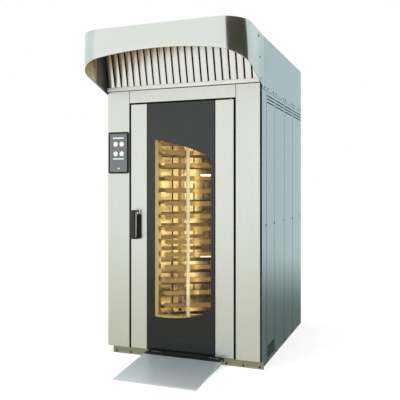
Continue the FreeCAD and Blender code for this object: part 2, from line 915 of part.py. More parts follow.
def hood_fan_impeller():
    wheel = bladed_wheel(hood_fan_radius, hood_fan_depth, hood_fan_hub, hood_fan_blades, fan_blade_length)
    wheel.rotate(Vector(0, 0, 0), X_AXIS, -90)
    front = hood_fan_y + hood_fan_gap
    wheel.translate(Vector(hood_fan_x, front, hood_fan_z))
    shaft = rod(fan_shaft_radius, Vector(hood_fan_x, front + hood_fan_depth, hood_fan_z), Y_AXIS,
                hood_fan_gap + hood_motor_length / 2)
    return group([wheel, shaft])


def hood_fan_motor():
    start = Vector(hood_fan_x, hood_fan_y + hood_fan_length(), hood_fan_z)
    body = rod(hood_motor_radius, start, Y_AXIS, hood_motor_length)
    return body.cut(rod(fan_shaft_radius + running_fit, start, Y_AXIS, hood_motor_length / 2))


# Hood, steam filter and drip trough

def hood_plan(inset, back_y, z):
    # Plan of the hood: straight sides, round front corners, flat front
    half = half_width + hood_sheet - inset
    front = face_y - hood_reach + inset
    radius = hood_corner - inset
    turn = radius * (1 - math.sqrt(0.5))
    corners = [Vector(-half, back_y, z), Vector(-half, front + radius, z),
               Vector(-half + turn, front + turn, z), Vector(-half + radius, front, z),
               Vector(half - radius, front, z),
               Vector(half - turn, front + turn, z), Vector(half, front + radius, z), Vector(half, back_y, z)]
    edges = [Part.makeLine(corners[0], corners[1]), Part.Arc(*corners[1:4]).toShape(),
             Part.makeLine(corners[3], corners[4]), Part.Arc(*corners[4:7]).toShape(),
             Part.makeLine(corners[6], corners[7]), Part.makeLine(corners[7], corners[0])]
    return Part.Face(Part.Wire(edges))


def hood_low():
    # The lowest point of the hood's edge, at the back of its side flanges
    return front_height - hood_side_bottom_drop - hood_rise * hood_flange


def hood_cutter():
    # Everything under the hood's lower edge, which rises towards the front and arches over the middle.
    # It reaches past the hood on every side, so that no face of the cut lies flush with the sheet
    half = half_width + hood_sheet
    radius = (half ** 2 + hood_arch ** 2) / (2 * hood_arch)
    reach = half + hood_cut_past
    crown = hood_low() + hood_arch - hood_rise * hood_cut_past
    foot = crown - radius + math.sqrt(radius ** 2 - reach ** 2)
    y = face_y + hood_flange + hood_cut_past
    left = Vector(-reach, y, foot)
    right = Vector(reach, y, foot)
    under = Vector(0, 0, -hood_height)
    edges = [Part.Arc(left, Vector(0, y, crown), right).toShape(), Part.makeLine(right, right.add(under)),
             Part.makeLine(right.add(under), left.add(under)), Part.makeLine(left.add(under), left)]
    depth = hood_reach + hood_flange + 2 * hood_cut_past
    return Part.Face(Part.Wire(edges)).extrude(Vector(0, -depth, hood_rise * depth))


def hood_over(level):
    # Everything over the hood's top line, which starts level at the roof and rises towards the front
    half = half_width + hood_sheet
    front = face_y - hood_reach
    back = face_y + 2 * hood_flange
    peak = level + hood_top_rise * hood_reach
    profile = [Vector(-half, back, level), Vector(-half, face_y, level), Vector(-half, front, peak),
               Vector(-half, front, peak + hood_height), Vector(-half, back, peak + hood_height)]
    return prism(profile, Vector(2 * half, 0, 0))


def hood_band():
    bottom = hood_low() - hood_cut_past
    height = Vector(0, 0, roof_top + hood_top_rise * hood_reach - bottom)
    outer = hood_plan(0, face_y + hood_flange, bottom).extrude(height)
    inner = hood_plan(hood_sheet, face_y + 2 * hood_flange, bottom).extrude(height)
    return outer.cut(inner).cut(hood_cutter()).cut(hood_over(roof_top))


def hood_top():
    plan = hood_plan(hood_sheet, face_y, roof_bottom)
    cover = plan.extrude(Vector(0, 0, sheet + hood_top_rise * hood_reach))
    return cover.common(hood_over(roof_bottom)).cut(hood_over(roof_top))


def drip_trough():
    left = -half_width + trough_left_inset
    right = half_width - trough_right_inset
    front = face_y - trough_reach
    top = front_height + trough_height
    outer = box(left, right, front, face_y, front_height, top)
    inner = box(left, right, front + sheet, face_y - sheet, front_height + sheet, top)
    return outer.cut(inner)


def filter_foot():
    # The lower rail's lowest edge rests on the trough's floor
    lean = math.radians(filter_lean)
    lift = filter_rail * math.cos(lean) + filter_rail / 2 * math.sin(lean)
    return Vector(0, face_y - filter_foot_reach, front_height + sheet + lift)


def leaned(solid):
    solid.rotate(Vector(0, 0, 0), X_AXIS, filter_lean)
    solid.translate(filter_foot())
    return solid


def filter_fins():
    pitch = (filter_right - filter_left) / filter_count
    fins = []
    for number in range(filter_count):
        x = filter_left + (number + 0.5) * pitch
        fin = box(x - filter_fin_width / 2, x + filter_fin_width / 2, -filter_fin_depth / 2,
                  filter_fin_depth / 2, 0, filter_height)
        fins.append(leaned(fin))
    return group(fins)


def filter_frame():
    rail = filter_rail / 2
    top = filter_height + filter_rail
    lower = box(filter_left, filter_right, -rail, rail, -filter_rail, 0)
    upper = box(filter_left, filter_right, -rail, rail, filter_height, top)
    return group([leaned(lower), leaned(upper)])


def hood_baffle():
    # A strip between the filter's upper rail and the hood's top sheet
    lean = math.radians(filter_lean)
    reach = filter_height + filter_rail
    foot = filter_foot()
    y = foot.y + filter_rail / 2 * math.cos(lean) - reach * math.sin(lean)
    z = foot.z + filter_rail / 2 * math.sin(lean) + reach * math.cos(lean)
    strip = box(-half_width, half_width, y - sheet, y, z, roof_top + hood_top_rise * hood_reach)
    return strip.cut(hood_over(roof_bottom))


# Touch panel on the left pillar

def panel_middle():
    return Vector(left_edge + panel_left_inset + panel_width / 2, face_y, panel_bottom + panel_height / 2)


def rounded_slab(middle, width, height, y0, y1, radius):
    slab = box(middle.x - width / 2, middle.x + width / 2, y0, y1, middle.z - height / 2,
               middle.z + height / 2)
    corners = [edge for edge in slab.Edges if abs(edge.Length - (y1 - y0)) < 1e-6
               and abs(edge.tangentAt(edge.FirstParameter).y) > 0.99]
    return slab.makeFillet(radius, corners)


def panel_opening(thickness):
    # The space inside the bezel's rim
    middle = panel_middle()
    half_x = panel_width / 2 - panel_rim
    half_z = panel_height / 2 - panel_rim
    return box(middle.x - half_x, middle.x + half_x, face_y - thickness, face_y, middle.z - half_z,
               middle.z + half_z)


def control_bezel():
    outer = rounded_slab(panel_middle(), panel_width, panel_height, face_y - panel_thickness, face_y,
                         panel_corner)
    return outer.cut(panel_opening(panel_thickness))


def icon_places():
    middle = panel_middle()
    return [Vector(middle.x + x, face_y - panel_glass, middle.z + z) for z in icon_rows for x in icon_columns]


def control_glass():
    pockets = [rod(icon_radius, place, Y_AXIS, icon_pocket_depth) for place in icon_places()]
    return panel_opening(panel_glass).cut(group(pockets))


def control_icons():
    proud = Vector(0, icon_pocket_depth - icon_thickness, 0)
    return group([rod(icon_radius, place.add(proud), Y_AXIS, icon_thickness) for place in icon_places()])


def control_box():
    middle = panel_middle()
    half = panel_width / 2 - control_box_margin
    return box(middle.x - half, middle.x + half, face_y + sheet, face_y + sheet + control_box_depth,
               panel_bottom + control_box_margin, panel_bottom + panel_height - control_box_margin)


def screw(place, outward):
    return rod(screw_radius, place, outward, screw_head)


def panel_screws():
    # Pairs astride the seams at the panels' lower edges, one on each seam, and those of the hood and plinth
    heads = []
    for side in (-1, 1):
        outward = Vector(side, 0, 0)
        for seam in side_seams():
            edge = Vector(side * half_width, face_y + seam - screw_edge, seam_screw_height)
            heads.append(screw(edge, outward))
            y = face_y + min(seam, cabinet_depth - screw_edge - screw_pair / 2)
            for z in (foot_height(side) + screw_edge, upper_panel_bottom + screw_edge):
                heads.append(screw(Vector(side * half_width, y - screw_pair / 2, z), outward))
                heads.append(screw(Vector(side * half_width, y + screw_pair / 2, z), outward))
        for reach, drop in hood_screws:
            place = Vector(side * (half_width + hood_sheet), face_y - reach, roof_top - drop)
            heads.append(screw(place, outward))
    places = [base_left + inset for inset in plinth_screws_left]
    places += [half_width + plinth_right_reach - inset for inset in plinth_screws_right]
    for x in places:
        heads.append(screw(Vector(x, plinth_y, plinth_screw_height), Vector(0, -1, 0)))
    return group(heads)


# Door

def stile_tray(x0, x1):
    return tray(x0, x1, face_y, door_back - door_sheet, door_bottom, door_top, door_sheet)


def door_left_stile():
    stile = stile_tray(door_left, glass_left - stile_seam)
    reach = catch_roller_radius + lug_gap
    half = catch_roller_height / 2 + lug_gap
    slot = box(door_left, door_left + door_sheet, catch_y - reach, catch_y + reach,
               catch_height - half, catch_height + half)
    return stile.cut(slot)


def door_right_stile():
    stile = stile_tray(glass_right + stile_seam, door_right)
    start = Vector(pivot_x, pivot_y, door_bottom)
    return stile.cut(rod(pivot_radius + pivot_hole_gap, start, Z_AXIS, door_top - door_bottom))


def pivot_blocks():
    half_x = pivot_side_inset - door_sheet
    half_y = pivot_front_inset - door_sheet
    blocks = []
    for z in (door_bottom + door_sheet, door_top - door_sheet - pivot_depth):
        block = box(pivot_x - half_x, pivot_x + half_x, pivot_y - half_y, pivot_y + half_y,
                    z, z + pivot_depth)
        bore = rod(pivot_radius + running_fit, Vector(pivot_x, pivot_y, z), Z_AXIS, pivot_depth)
        blocks.append(block.cut(bore))
    return group(blocks)


def catch_box():
    reach = catch_roller_radius + door_sheet
    half = catch_roller_height / 2 + door_sheet
    x = door_left + door_sheet
    return box(x, x + catch_housing, catch_y - reach, catch_y + reach,
               catch_height - half, catch_height + half)


def roller_catch():
    half = catch_roller_height / 2
    start = Vector(catch_x, catch_y, catch_height - half)
    housing = catch_box().cut(rod(catch_roller_radius + lug_gap, start, Z_AXIS, catch_roller_height))
    return group([housing, rod(catch_roller_radius, start, Z_AXIS, catch_roller_height)])


def door_insulation():
    bottom = door_bottom + door_sheet + pivot_depth
    top = door_top - door_sheet - pivot_depth
    front = face_y + door_sheet
    back = door_back - door_sheet
    left = box(door_left + door_sheet, glass_left - stile_seam - door_sheet, front, back, bottom, top)
    right = box(glass_right + stile_seam + door_sheet, door_right - door_sheet, front, back, bottom, top)
    return group([left.cut(catch_box()), right])


def door_outer_glass():
    return box(glass_left, glass_right, face_y, face_y + outer_glass, door_bottom, door_top)


def bulged(start, end, bulge):
    # An arc from start to end whose middle stands off the chord, to the left of its direction seen from -Y
    chord = end.sub(start)
    side = Vector(-chord.z, 0, chord.x).normalize()
    return Part.Arc(start, start.add(end).multiply(0.5).add(side.multiply(bulge)), end).toShape()


def window_face(y):
    # Upright left side, a top edge that falls to the right in a shallow arc, round right corners
    low_left = Vector(window_left, y, window_bottom)
    high_left = Vector(window_left, y, window_top)
    top_right = Vector(window_right - window_corner_run, y, window_top - window_top_fall)
    side_high = Vector(window_right, y, top_right.z - window_corner_drop)
    low_right = Vector(window_right - window_low_corner_run, y, window_bottom + window_bottom_rise)
    side_low = Vector(window_right, y, low_right.z + window_low_corner_rise)
    edges = [Part.makeLine(low_left, high_left), bulged(high_left, top_right, window_top_bulge),
             bulged(top_right, side_high, window_corner_bulge), Part.makeLine(side_high, side_low),
             bulged(side_low, low_right, window_low_corner_bulge),
             bulged(low_right, low_left, window_bottom_bulge)]
    return Part.Face(Part.Wire(edges))


def door_print():
    y = face_y + outer_glass
    film = box(glass_left, glass_right, y, y + print_film, door_bottom, door_top)
    return film.cut(window_face(y).extrude(Vector(0, print_film, 0)))


def ring_bars(x0, x1, z0, z1, y0, y1):
    # Four bars round the window, from its opening out to the given edges
    left = box(x0, open_left, y0, y1, z0, z1)
    right = box(open_right, x1, y0, y1, z0, z1)
    lower = box(open_left, open_right, y0, y1, z0, open_bottom)
    upper = box(open_left, open_right, y0, y1, open_top, z1)
    return group([left, right, lower, upper])


def door_core():
    return ring_bars(glass_left, glass_right, door_bottom, door_top, face_y + outer_glass + print_film,
                     door_back - door_sheet)


def door_back_sheet():
    back = box(door_left, door_right, door_back - door_sheet, door_back, door_bottom, door_top)
    return back.cut(box(open_left, open_right, door_back - door_sheet, door_back, open_bottom, open_top))


def inner_glass_frame():
    return ring_bars(open_left - inner_frame_width, open_right + inner_frame_width,
                     open_bottom - inner_frame_width, open_top + inner_frame_width,
                     door_back, door_back + inner_frame_depth)


def door_inner_glass():
    back = door_back + inner_frame_depth
    return box(open_left, open_right, back - inner_glass, back, open_bottom, open_top)


def door_gasket():
    left_x = doorway_left - gasket_offset
    right_x = doorway_right + gasket_offset
    bottom = door_bottom + gasket_offset
    lower = doorway_top + gasket_offset
    back = jamb_y - seal_clearance
    left = box(left_x - gasket_width, left_x, door_back, back, bottom, lower)
    right = box(right_x, right_x + gasket_width, door_back, back, bottom, lower)
    top = box(left_x - gasket_width, right_x + gasket_width, door_back, back, lower, lower + gasket_width)
    return group([left, right, top])


def handle_lugs():
    # Heights of the two lugs' lower faces on the handle's base
    return (handle_bottom, handle_bottom + handle_height - handle_cap_height - lug_height)


def handle_base():
    half = handle_base_width / 2
    body = box(handle_x - half, handle_x + half, handle_base_y, face_y, handle_bottom,
               handle_bottom + handle_height - handle_cap_height)
    pieces = [body]
    reach = arm_width / 2
    for z in handle_lugs():
        pieces.append(box(handle_x - reach, handle_x + reach, spindle_y, handle_base_y, z, z + lug_height))
        pieces.append(rod(reach, Vector(handle_x, spindle_y, z), Z_AXIS, lug_height))
    base = fused(pieces)
    for z in handle_lugs():
        base = base.cut(rod(spindle_radius, Vector(handle_x, spindle_y, z), Z_AXIS, lug_height))
    return base


def handle_cap():
    half = handle_base_width / 2
    return box(handle_x - half, handle_x + half, handle_base_y, face_y,
               handle_bottom + handle_height - handle_cap_height, handle_bottom + handle_height)


def arm_bottoms():
    low, high = handle_lugs()
    return (low + lug_height + lug_gap, high - lug_gap - arm_height)


def handle_pins():
    low, high = handle_lugs()
    length = lug_height + lug_gap + arm_height
    return group([rod(spindle_radius, Vector(handle_x, spindle_y, z), Z_AXIS, length)
                  for z in (low, high + lug_height - length)])


def handle_grip():
    # A rounded upright bar on two arms that turn on the pins
    x = handle_x - grip_side_offset
    front = face_y - grip_stand_off
    bar = box(x - grip_width / 2, x + grip_width / 2, front, front + grip_thickness, handle_bottom,
              handle_bottom + handle_height)
    bar = bar.makeFillet(grip_round, bar.Edges)
    half = arm_width / 2
    bore = spindle_radius + running_fit
    pieces = [bar]
    for z in arm_bottoms():
        start = Vector(handle_x, spindle_y, z)
        pieces.append(rod(half, start, Z_AXIS, arm_height))
        arm = [Vector(handle_x, spindle_y + half, z), Vector(handle_x, spindle_y - half, z),
               Vector(x, front + grip_round, z), Vector(x, front + grip_thickness, z)]
        pieces.append(prism(arm, Vector(0, 0, arm_height)))
    grip = fused(pieces)
    for z in arm_bottoms():
        grip = grip.cut(rod(bore, Vector(handle_x, spindle_y, z), Z_AXIS, arm_height))
    return grip


# Turntable, drive and trolley: the trolley is built along X and Y, then turned about the rack's axis

def wheel_height():
    return turntable_top + wheel_floor_gap + wheel_radius


def castor_levels():
    # Heights of the castor's crown, of its plate's underside and of the trolley's frame
    crown = wheel_height() + wheel_radius + castor_crown
    plate = crown + castor_head + castor_gap
    return crown, plate, plate + castor_plate_thickness


def rack_top():
    return ceiling - rack_head_room


def placed(shape):
    shape.rotate(Vector(0, 0, 0), Z_AXIS, rack_turn)
    shape.translate(Vector(0, rack_y, 0))
    return shape


def turntable():
    start = Vector(0, rack_y, turntable_bottom)
    return tube(turntable_radius, floor_pin_radius + running_fit, start, Z_AXIS, turntable_thickness)


def fork_base():
    return rack_top() + fork_clearance


def drive_shaft():
    bottom = fork_base() + fork_head
    top = deck_top + bearing_flange_height + gearbox_height
    return rod(drive_radius, Vector(0, rack_y, bottom), Z_AXIS, top - bottom)


def drive_fork():
    inner = fork_bar_width / 2 + fork_clearance
    outer = inner + fork_prong
    base = fork_base()
    half = fork_reach / 2
    head = box(-half, half, -outer, outer, base, base + fork_head)
    prongs = [box(-half, half, y, y + fork_prong, base - fork_head, base) for y in (-outer, inner)]
    return placed(fused([head] + prongs))


def runner_side():
    # Distance of the runners' outer faces from the trolley's middle
    return rack_width / 2 - rack_post


def square_tube(x0, x1, y0, y1, z0, z1, axis):
    outer = box(x0, x1, y0, y1, z0, z1)
    wall = rack_tube_wall
    dx = 0.0 if axis == "x" else wall
    dy = 0.0 if axis == "y" else wall
    dz = 0.0 if axis == "z" else wall
    return outer.cut(box(x0 + dx, x1 - dx, y0 + dy, y1 - dy, z0 + dz, z1 - dz))


def trolley_posts():
    bottom = castor_levels()[2]
    posts = []
    for x in (-rack_post_offset, rack_post_offset):
        x0 = x - rack_post / 2
        for y in (-rack_width / 2, rack_width / 2 - rack_post):
            posts.append(square_tube(x0, x0 + rack_post, y, y + rack_post, bottom, rack_top(), "z"))
    return placed(group(posts))


def trolley_base():
    bottom = castor_levels()[2]
    top = bottom + rack_frame_height
    side = runner_side()
    half = rack_length / 2
    tubes = [square_tube(-half, half, -side, -side + rack_post, bottom, top, "x"),
             square_tube(-half, half, side - rack_post, side, bottom, top, "x")]
    for x in (-castor_length_offset, 0.0, castor_length_offset):
        tubes.append(square_tube(x - rack_post / 2, x + rack_post / 2, -side + rack_post, side - rack_post,
                                 bottom, top, "y"))
    return placed(group(tubes))


def trolley_top():
    top = rack_top()
    bottom = top - rack_frame_height
    side = runner_side()
    inner = rack_post_offset - rack_post / 2
    tubes = [square_tube(x - rack_post / 2, x + rack_post / 2, -side, side, bottom, top, "y")
             for x in (-rack_post_offset, rack_post_offset)]
    tubes.append(square_tube(-inner, inner, -fork_bar_width / 2, fork_bar_width / 2, bottom, top, "x"))
    return placed(group(tubes))


def runner(side, z):
    # An angle whose flange carries the tray's edge and whose web hangs under it, with round lower corners
    half = rack_length / 2
    face = side * runner_side()
    y0, y1 = sorted((face, face - side * runner_sheet))
    web = box(-half, half, y0, y1, z - runner_web, z)
    corners = [edge for edge in web.Edges
               if abs(edge.Length - runner_sheet) < 1e-6 and edge.CenterOfMass.z < z - runner_sheet]
    web = web.makeFillet(runner_end_radius, corners)
    y0, y1 = sorted((face, face - side * runner_flange))
    return fused([web, box(-half, half, y0, y1, z - runner_sheet, z)])


def trolley_runners():
    lowest = castor_levels()[2] + rack_frame_height + runner_web + runner_flange
    room = rack_top() - rack_frame_height - lowest
    count = int(room // runner_pitch) + 1
    runners = []
    for side in (-1, 1):
        for number in range(count):
            runners.append(runner(side, lowest + number * runner_pitch))
    return placed(group(runners))


def castor_places():
    return [(x, y) for x in (-castor_length_offset, castor_length_offset)
            for y in (-castor_width_offset, castor_width_offset)]


def castor_plates():
    plate_z = castor_levels()[1]
    half = castor_plate / 2
    plates = []
    for x, y in castor_places():
        plate = box(x - half, x + half, y - half, y + half, plate_z, plate_z + castor_plate_thickness)
        if x < 0:
            plate = plate.cut(rod(castor_stem_radius + running_fit, Vector(x, y, plate_z), Z_AXIS,
                                  castor_plate_thickness))
        plates.append(plate)
    return placed(group(plates))


def castor_fork(x, y, trail, head_height):
    # Two cheeks under a head, with the wheel's axle across them
    crown = castor_levels()[0]
    axle_z = wheel_height()
    inner = wheel_width / 2 + wheel_side_gap
    outer = inner + castor_cheek
    front = x - castor_plate / 4
    back = x + trail + castor_plate / 4
    pieces = [box(front, back, y - outer, y + outer, crown, crown + head_height)]
    for y0, y1 in ((y - outer, y - inner), (y + inner, y + outer)):
        pieces.append(box(x + trail - 2 * axle_radius, back, y0, y1, axle_z - 2 * axle_radius, crown))
    fork = fused(pieces)
    axle = rod(axle_radius, Vector(x + trail, y - outer, axle_z), Y_AXIS, 2 * outer)
    return fork.cut(axle), axle


def swivel_fork(index):
    x, y = castor_places()[index]
    fork, axle = castor_fork(x, y, castor_trail, castor_head)
    crown, plate_z, frame_z = castor_levels()
    stem = rod(castor_stem_radius, Vector(x, y, crown + castor_head), Z_AXIS, frame_z - crown - castor_head)
    return placed(group([fused([fork, stem]), axle]))


def fixed_forks():
    solids = []
    for x, y in castor_places()[2:]:
        solids += castor_fork(x, y, 0.0, castor_head + castor_gap)
    return placed(group(solids))


def castor_wheel(index):
    x, y = castor_places()[index]
    trail = castor_trail if x < 0 else 0.0
    start = Vector(x + trail, y - wheel_width / 2, wheel_height())
    return placed(tube(wheel_radius, axle_radius + running_fit, start, Y_AXIS, wheel_width))


# Ramp

ramp_left = ramp_center - ramp_width / 2
ramp_right = ramp_center + ramp_width / 2
ramp_axis_y = face_y - ramp_axis_reach
ramp_axis_z = plinth_height - ramp_top_drop - ramp_rod_radius - ramp_sleeve_wall


def sleeve_starts():
    return (ramp_left + ramp_sleeve_inset, ramp_right - ramp_sleeve_inset - ramp_sleeve_length)


def ramp_lines():
    # Tip, rear edge and the underside's first point on the floor
    top = plinth_height - ramp_top_drop
    tip_y = face_y - ramp_reach
    rear_edge = ramp_axis_y - ramp_rod_radius - ramp_sleeve_wall - ramp_lug_gap
    slope = (top - ramp_tip_thickness) / (rear_edge - tip_y)
    return tip_y, rear_edge, tip_y + (ramp_plate_thickness - ramp_tip_thickness) / slope


def ramp_plate():
    # A sloping plate with its tip on the floor, and two sleeves with tabs that turn on the hinge rods
    top = plinth_height - ramp_top_drop
    tip_y, rear_edge, floor_y = ramp_lines()
    low = top - ramp_plate_thickness
    profile = [Vector(ramp_left, rear_edge, top), Vector(ramp_left, tip_y, ramp_tip_thickness),
               Vector(ramp_left, tip_y, 0), Vector(ramp_left, floor_y, 0), Vector(ramp_left, rear_edge, low)]
    pieces = [prism(profile, Vector(ramp_width, 0, 0))]
    bores = []
    for x in sleeve_starts():
        start = Vector(x, ramp_axis_y, ramp_axis_z)
        pieces.append(rod(ramp_rod_radius + ramp_sleeve_wall, start, X_AXIS, ramp_sleeve_length))
        pieces.append(box(x, x + ramp_sleeve_length, rear_edge, ramp_axis_y, low, top))
        bores.append(rod(ramp_rod_radius + running_fit, start, X_AXIS, ramp_sleeve_length))
    return fused(pieces).cut(group(bores))


def ramp_cheeks():
    tip_y, rear_edge, floor_y = ramp_lines()
    back_y = rear_edge - ramp_cheek_inset
    top = plinth_height - ramp_top_drop - ramp_plate_thickness
    back_z = top * (back_y - floor_y) / (rear_edge - floor_y)
    cheeks = []
    for x in (ramp_left + ramp_cheek_inset, ramp_right - ramp_cheek_inset - ramp_cheek):
        profile = [Vector(x, floor_y, 0), Vector(x, back_y, 0), Vector(x, back_y, back_z)]
        cheeks.append(prism(profile, Vector(ramp_cheek, 0, 0)))
    return group(cheeks)


def lug_starts():
    places = []
    for x in sleeve_starts():
        places += [x - ramp_lug_gap - ramp_lug, x + ramp_sleeve_length + ramp_lug_gap]
    return places


def ramp_lugs():
    radius = ramp_rod_radius + ramp_sleeve_wall
    lugs = []
    for x in lug_starts():
        arm = box(x, x + ramp_lug, ramp_axis_y, plinth_y, ramp_axis_z - radius, ramp_axis_z + radius)
        eye = rod(radius, Vector(x, ramp_axis_y, ramp_axis_z), X_AXIS, ramp_lug)
        hole = rod(ramp_rod_radius, Vector(x, ramp_axis_y, ramp_axis_z), X_AXIS, ramp_lug)
        lugs.append(fused([arm, eye]).cut(hole))
    return group(lugs)


def ramp_rods():
    length = ramp_sleeve_length + 2 * (ramp_lug_gap + ramp_lug)
    before = ramp_lug_gap + ramp_lug
    return group([rod(ramp_rod_radius, Vector(x - before, ramp_axis_y, ramp_axis_z), X_AXIS, length)
                  for x in sleeve_starts()])


# Every node of the assembly

nodes = {
    "base_frame": group([base_plate(), left_ledge(), frame_posts(), machine_deck(), upper_posts(),
                         plenum_bulkhead()]),
    "plinth": plinth(),
    "threshold": group([sill_beam(), threshold_plate()]),
    "left_pillar": left_pillar(),
    "right_pillar": right_pillar(),
    "header_panel": header_panel(),
    "front_wall": front_wall(),
    "left_side_panels": group([side_panels(-1), upper_side_panel(-1)]),
    "right_side_panels": group([side_panels(1), upper_side_panel(1)]),
    "rear_panels": group([rear_panels(), upper_rear_panel()]),
    "roof_panel": roof_panel(),
    "panel_screws": panel_screws(),
    "door_pivots": group([lower_pivot(), upper_pivot(), keeper()]),
    "chamber_liner": group([chamber_floor(), chamber_liner(), lamp_housings()]),
    "insulation": insulation(),
    "air_panels": group([air_wall(), air_columns()]),
    "heating_elements": group([heating_elements(), heater_shelf()]),
    "steam_generator": group([steam_cascade(), water_pipe(), water_valve()]),
    "exhaust_duct": group([exhaust_duct(), damper_actuator()]),
    "fan_motor": fan_motor(),
    "rack_gearmotor": group([rack_gearbox(), rack_motor(), shaft_bearing()]),
    "floor_bearing": floor_bearing(),
    "electrics": group([electrics_box(), control_box(), cable_gland(), temperature_probe()]),
    "lamp_tubes": lamp_tubes(),
    "hood_fan_housing": group([hood_fan_housing(), hood_fan_motor()]),
    "hood_band": hood_band(),
    "hood_top": group([hood_top(), hood_baffle()]),
    "steam_filter": group([filter_frame(), filter_fins()]),
    "drip_trough": drip_trough(),
    "control_bezel": control_bezel(),
    "control_glass": control_glass(),
    "control_icons": control_icons(),
    "ramp_hinge": group([ramp_lugs(), ramp_rods()]),
    "door_left_stile": door_left_stile(),
    "door_right_stile": door_right_stile(),
    "door_outer_glass": door_outer_glass(),
    "door_print": door_print(),
    "door_core": group([door_core(), door_insulation()]),
    "door_back": group([door_back_sheet(), inner_glass_frame()]),
    "door_gasket": door_gasket(),
    "door_inner_glass": door_inner_glass(),
    "door_fittings": group([pivot_blocks(), roller_catch()]),
    "handle_base": group([handle_base(), handle_pins()]),
    "handle_cap": handle_cap(),
    "handle_grip": handle_grip(),
    "ramp_plate": group([ramp_plate(), ramp_cheeks()]),
    "turntable": turntable(),
    "drive_shaft": group([drive_shaft(), drive_fork()]),
    "trolley_frame": group([trolley_posts(), trolley_base(), trolley_top()]),
    "trolley_runners": trolley_runners(),
    "castor_mounts": group([castor_plates(), fixed_forks()]),
    "swivel_fork_near": swivel_fork(0),
    "swivel_fork_far": swivel_fork(1),
    "castor_wheel_1": castor_wheel(0),
    "castor_wheel_2": castor_wheel(1),
    "castor_wheel_3": castor_wheel(2),
    "castor_wheel_4": castor_wheel(3),
    "fan_impeller": group([fan_impeller(), fan_shaft()]),
    "hood_fan_impeller": hood_fan_impeller(),
    "damper_flap": damper_flap(),
}

os.makedirs("parts", exist_ok=True)
for name, shape in nodes.items():
    shape.exportStep("parts/" + name + ".step")
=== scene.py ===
import math

import bmesh
import bpy
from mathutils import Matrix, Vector


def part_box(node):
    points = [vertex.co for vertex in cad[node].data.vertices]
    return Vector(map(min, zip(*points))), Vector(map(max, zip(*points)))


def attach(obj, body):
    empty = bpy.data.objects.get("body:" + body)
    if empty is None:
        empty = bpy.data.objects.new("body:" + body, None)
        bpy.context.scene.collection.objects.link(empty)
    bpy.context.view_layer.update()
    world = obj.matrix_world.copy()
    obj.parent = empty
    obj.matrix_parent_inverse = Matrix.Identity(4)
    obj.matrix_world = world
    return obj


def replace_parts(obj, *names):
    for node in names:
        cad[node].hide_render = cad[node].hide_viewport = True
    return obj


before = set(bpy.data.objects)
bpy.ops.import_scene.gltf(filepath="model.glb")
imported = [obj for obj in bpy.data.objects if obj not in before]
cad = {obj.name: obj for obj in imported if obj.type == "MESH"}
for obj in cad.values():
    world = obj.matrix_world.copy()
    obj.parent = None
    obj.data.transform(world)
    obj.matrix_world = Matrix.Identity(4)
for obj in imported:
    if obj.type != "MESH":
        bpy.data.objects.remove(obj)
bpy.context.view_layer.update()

scene = bpy.context.scene

# Base frame
# Square steel posts welded to a base plate, with a machine deck over the chamber and a bulkhead behind
# the hood. Painted grey after welding; the panels hide nearly all of it.


def linear(code):
    """A colour written as sRGB hex, in the linear values a shader takes."""
    channels = [int(code[place:place + 2], 16) / 255 for place in (1, 3, 5)]
    return [level / 12.92 if level <= 0.04045 else ((level + 0.055) / 1.055) ** 2.4
            for level in channels] + [1.0]


def add(tree, kind, sockets, **settings):
    """Adds a shader node, sets it, and gives its input sockets their values or links."""
    node = tree.nodes.new(kind)
    for name, value in settings.items():
        setattr(node, name, value)
    for name, value in sockets.items():
        if isinstance(value, bpy.types.NodeSocket):
            tree.links.new(value, node.inputs[name])
        else:
            node.inputs[name].default_value = value
    return node


def finish(name, light, dark, patch, grain, metallic, rough, relief, **sheen):
    """A surface with soft patches between two tones and a finer grain in its sheen and relief.

    patch and grain are the lengths of those patterns along X, Y and Z in mm, rough the least and most
    roughness, relief the height of the grain in mm. Brushing and rolling leave marks finer than the eye
    can part from here, so the grain of such sheets is drawn some mm wide to show.
    """
    material = bpy.data.materials.new(name)
    material.use_nodes = True
    tree = material.node_tree
    shader = tree.nodes["Principled BSDF"]
    place = add(tree, "ShaderNodeTexCoord", {}).outputs["Object"]
    wide = add(tree, "ShaderNodeMapping", {"Vector": place, "Scale": [1000 / length for length in patch]})
    fine = add(tree, "ShaderNodeMapping", {"Vector": place, "Scale": [1000 / length for length in grain]})
    patches = add(tree, "ShaderNodeTexNoise", {"Vector": wide.outputs[0], "Scale": 1.0, "Detail": 2.0})
    grains = add(tree, "ShaderNodeTexNoise", {"Vector": fine.outputs[0], "Scale": 1.0, "Detail": 3.0})
    tone = add(tree, "ShaderNodeMix", {"Factor": patches.outputs["Fac"], 6: linear(light), 7: linear(dark)},
               data_type="RGBA")
    gloss = add(tree, "ShaderNodeMapRange", {"Value": grains.outputs["Fac"], "From Min": 0.3,
                                             "From Max": 0.7, "To Min": rough[0], "To Max": rough[1]})
    tree.links.new(tone.outputs[2], shader.inputs["Base Color"])
    tree.links.new(gloss.outputs[0], shader.inputs["Roughness"])
    shader.inputs["Metallic"].default_value = metallic
    if relief:
        bump = add(tree, "ShaderNodeBump", {"Height": grains.outputs["Fac"], "Distance": relief / 1000})
        tree.links.new(bump.outputs[0], shader.inputs["Normal"])
    for socket, value in sheen.items():
        shader.inputs[socket].default_value = value
    return material


# Points of a CAD mesh that lie closer than this, in metres, are one point
weld_reach = 0.00002


def dress(material, edge, *names):
    """Gives CAD pieces their finish, and their edges the small round in mm that folding or cutting leaves."""
    for name in names:
        part = cad[name]
        part.data.materials.clear()
        part.data.materials.append(material)
        if edge:
            weld = part.modifiers.new("weld", "WELD")
            weld.merge_threshold = weld_reach
            worn = part.modifiers.new("edge", "BEVEL")
            worn.width = edge / 1000
            worn.segments = 2
            worn.limit_method = "ANGLE"
            worn.angle_limit = math.radians(40)
            worn.harden_normals = True


